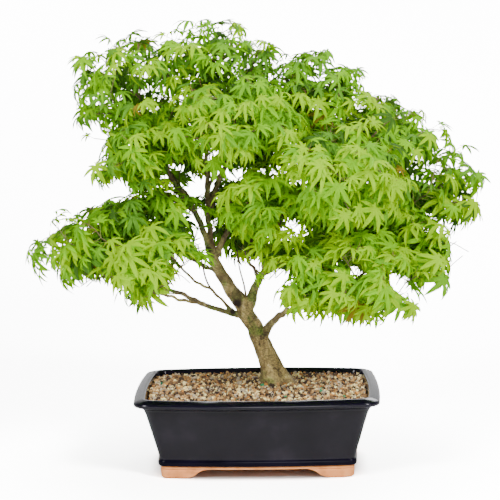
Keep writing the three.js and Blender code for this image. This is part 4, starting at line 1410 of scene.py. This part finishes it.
def sweep_profile():
    """Points along the floor, round the turn and up the wall: (y, z)."""
    turn_start = SWEEP_BACK - SWEEP_RADIUS
    line = [(SWEEP_FRONT, 0.0), (turn_start, 0.0)]
    for i in range(1, SWEEP_STEPS + 1):
        angle = math.pi / 2 * i / SWEEP_STEPS
        line.append((turn_start + SWEEP_RADIUS * math.sin(angle),
                     SWEEP_RADIUS - SWEEP_RADIUS * math.cos(angle)))
    line.append((SWEEP_BACK, SWEEP_TOP))
    return line


def seen_by_camera(tree):
    return add_node(tree, "ShaderNodeLightPath").outputs["Is Camera Ray"]


def paper_material():
    """Grey paper to the tree; to the camera burnt out, with a painted shadow under the pot and no back."""
    material, tree, shader = new_material("white paper")
    set_up(tree, shader, Base_Color=(0.6, 0.6, 0.6, 1), Roughness=0.9)
    from_pot = vector_step(tree, "SUBTRACT", own_place(tree), POT_MIDDLE)
    foot_shares = (2 / (BASE_WIDTH * MM), 2 / (BASE_DEPTH * MM), 0)
    as_square = vector_step(tree, "MULTIPLY", from_pot, foot_shares)
    edge = vector_step(tree, "LENGTH", vector_step(tree, "MULTIPLY", as_square, as_square))
    # Painted shadow: to the camera the paper stays dim within the pot's footprint and brightens just past it.
    glow_and_painted_shadow = map_range(tree, edge, SHADOW_REACH, PAPER_BRIGHTNESS)
    burnt_out = add_node(tree, "ShaderNodeBsdfDiffuse", Color=glow_and_painted_shadow).outputs["BSDF"]
    far = map_range(tree, vector_step(tree, "LENGTH", from_pot), FAR_PAPER, (0, 1))
    far_white = add_node(tree, "ShaderNodeEmission", Strength=FAR_WHITE).outputs["Emission"]
    to_camera = seen_by_camera(tree)
    looked_at = blend_shaders(tree, far, burnt_out, far_white)
    paper = blend_shaders(tree, to_camera, shader.outputs["BSDF"], looked_at)
    backfacing = add_node(tree, "ShaderNodeNewGeometry").outputs["Backfacing"]
    clear = add_node(tree, "ShaderNodeBsdfTransparent").outputs["BSDF"]
    open_back = blend_shaders(tree, math_step(tree, "MULTIPLY", backfacing, to_camera), paper, clear)
    feed(tree, tree.nodes["Material Output"].inputs["Surface"], open_back)
    return material


line = sweep_profile()
points = [(x, y, z) for y, z in line for x in (-SWEEP_HALF_WIDTH, SWEEP_HALF_WIDTH)]
triangles = []
for a in range(0, 2 * len(line) - 2, 2):
    triangles += [(a, a + 1, a + 3), (a, a + 3, a + 2)]
sweep = mesh_piece("studio_sweep", np.array(points), np.array(triangles))
sweep.data.materials.append(paper_material())
print("sweep:", len(triangles), "triangles")

# %% Lights and world
CROWN_AIM = (0, 0, 0.32)
LIGHTS = {
    "key light": ((1.5, -1.9, 1.7), 0.7, 102),
    "fill light": ((-1.7, -1.8, 1.5), 0.9, 76),
    "low light": ((0.2, -2.5, 0.5), 0.9, 17),
    "top light": ((0.2, 0.3, 2.3), 1.4, 30),
    "back light": ((0.4, 1.9, 1.5), 1.4, 32),
}
AIR_LIGHT = 0.17


def soft_light(name, place, width, power):
    """A square lamp, aimed at the crown."""
    lamp = bpy.data.lights.new(name, "AREA")
    lamp.shape = "SQUARE"
    lamp.size = width
    lamp.energy = power
    light = bpy.data.objects.new(name, lamp)
    light.location = place
    light.rotation_euler = (Vector(CROWN_AIM) - Vector(place)).to_track_quat("-Z", "Y").to_euler()
    bpy.context.scene.collection.objects.link(light)


def white_world():
    """A dim white world to the tree, and a bright one to the camera."""
    world = bpy.data.worlds.new("white studio")
    world.use_nodes = True
    tree = world.node_tree
    soft = set_up(tree, tree.nodes["Background"], Color=(1, 1, 1, 1), Strength=AIR_LIGHT)
    white = add_node(tree, "ShaderNodeBackground", Color=(1, 1, 1, 1), Strength=FAR_WHITE)
    air = blend_shaders(tree, seen_by_camera(tree), soft.outputs["Background"], white.outputs["Background"])
    feed(tree, tree.nodes["World Output"].inputs["Surface"], air)
    return world


for name, (place, width, power) in LIGHTS.items():
    soft_light(name, place, width, power)
bpy.context.scene.world = white_world()
print("studio:", len(LIGHTS), "soft lights and a white sweep")

# %% [markdown]
# ## Camera
#
# The camera was worked out from the pot in the photograph: its rim and foot are rectangles of known
# size, so their corners give the place, the tilt and the focal length. It stands 2.3 m away with a long
# lens, a little lower than the top of the crown, tilted down by six and a half degrees and rolled by
# less than one.

# %% Set the camera
PICTURE_WIDTH = 500
FOCAL_PIXELS = 1805.58
SENSOR_WIDTH = 36.0
CAMERA_PLACE = (46.91, -2300.0, 543.04)
CAMERA_TILT = 0.114737
CAMERA_TURN = 0.023799
CAMERA_ROLL = 0.013102

camera_data = bpy.data.cameras.new("camera")
camera_data.sensor_width = SENSOR_WIDTH
camera_data.lens = FOCAL_PIXELS * SENSOR_WIDTH / PICTURE_WIDTH
camera = bpy.data.objects.new("camera", camera_data)
bpy.context.scene.collection.objects.link(camera)
turn = Matrix.Rotation(CAMERA_TURN, 4, "Z") @ Matrix.Rotation(math.pi / 2 - CAMERA_TILT, 4, "X")
camera.matrix_world = (Matrix.Translation(Vector(placed(CAMERA_PLACE))) @ turn
                       @ Matrix.Rotation(-CAMERA_ROLL, 4, "Z"))
bpy.context.scene.camera = camera
print("camera lens", round(camera_data.lens, 1), "mm at", [round(c, 3) for c in camera.location])
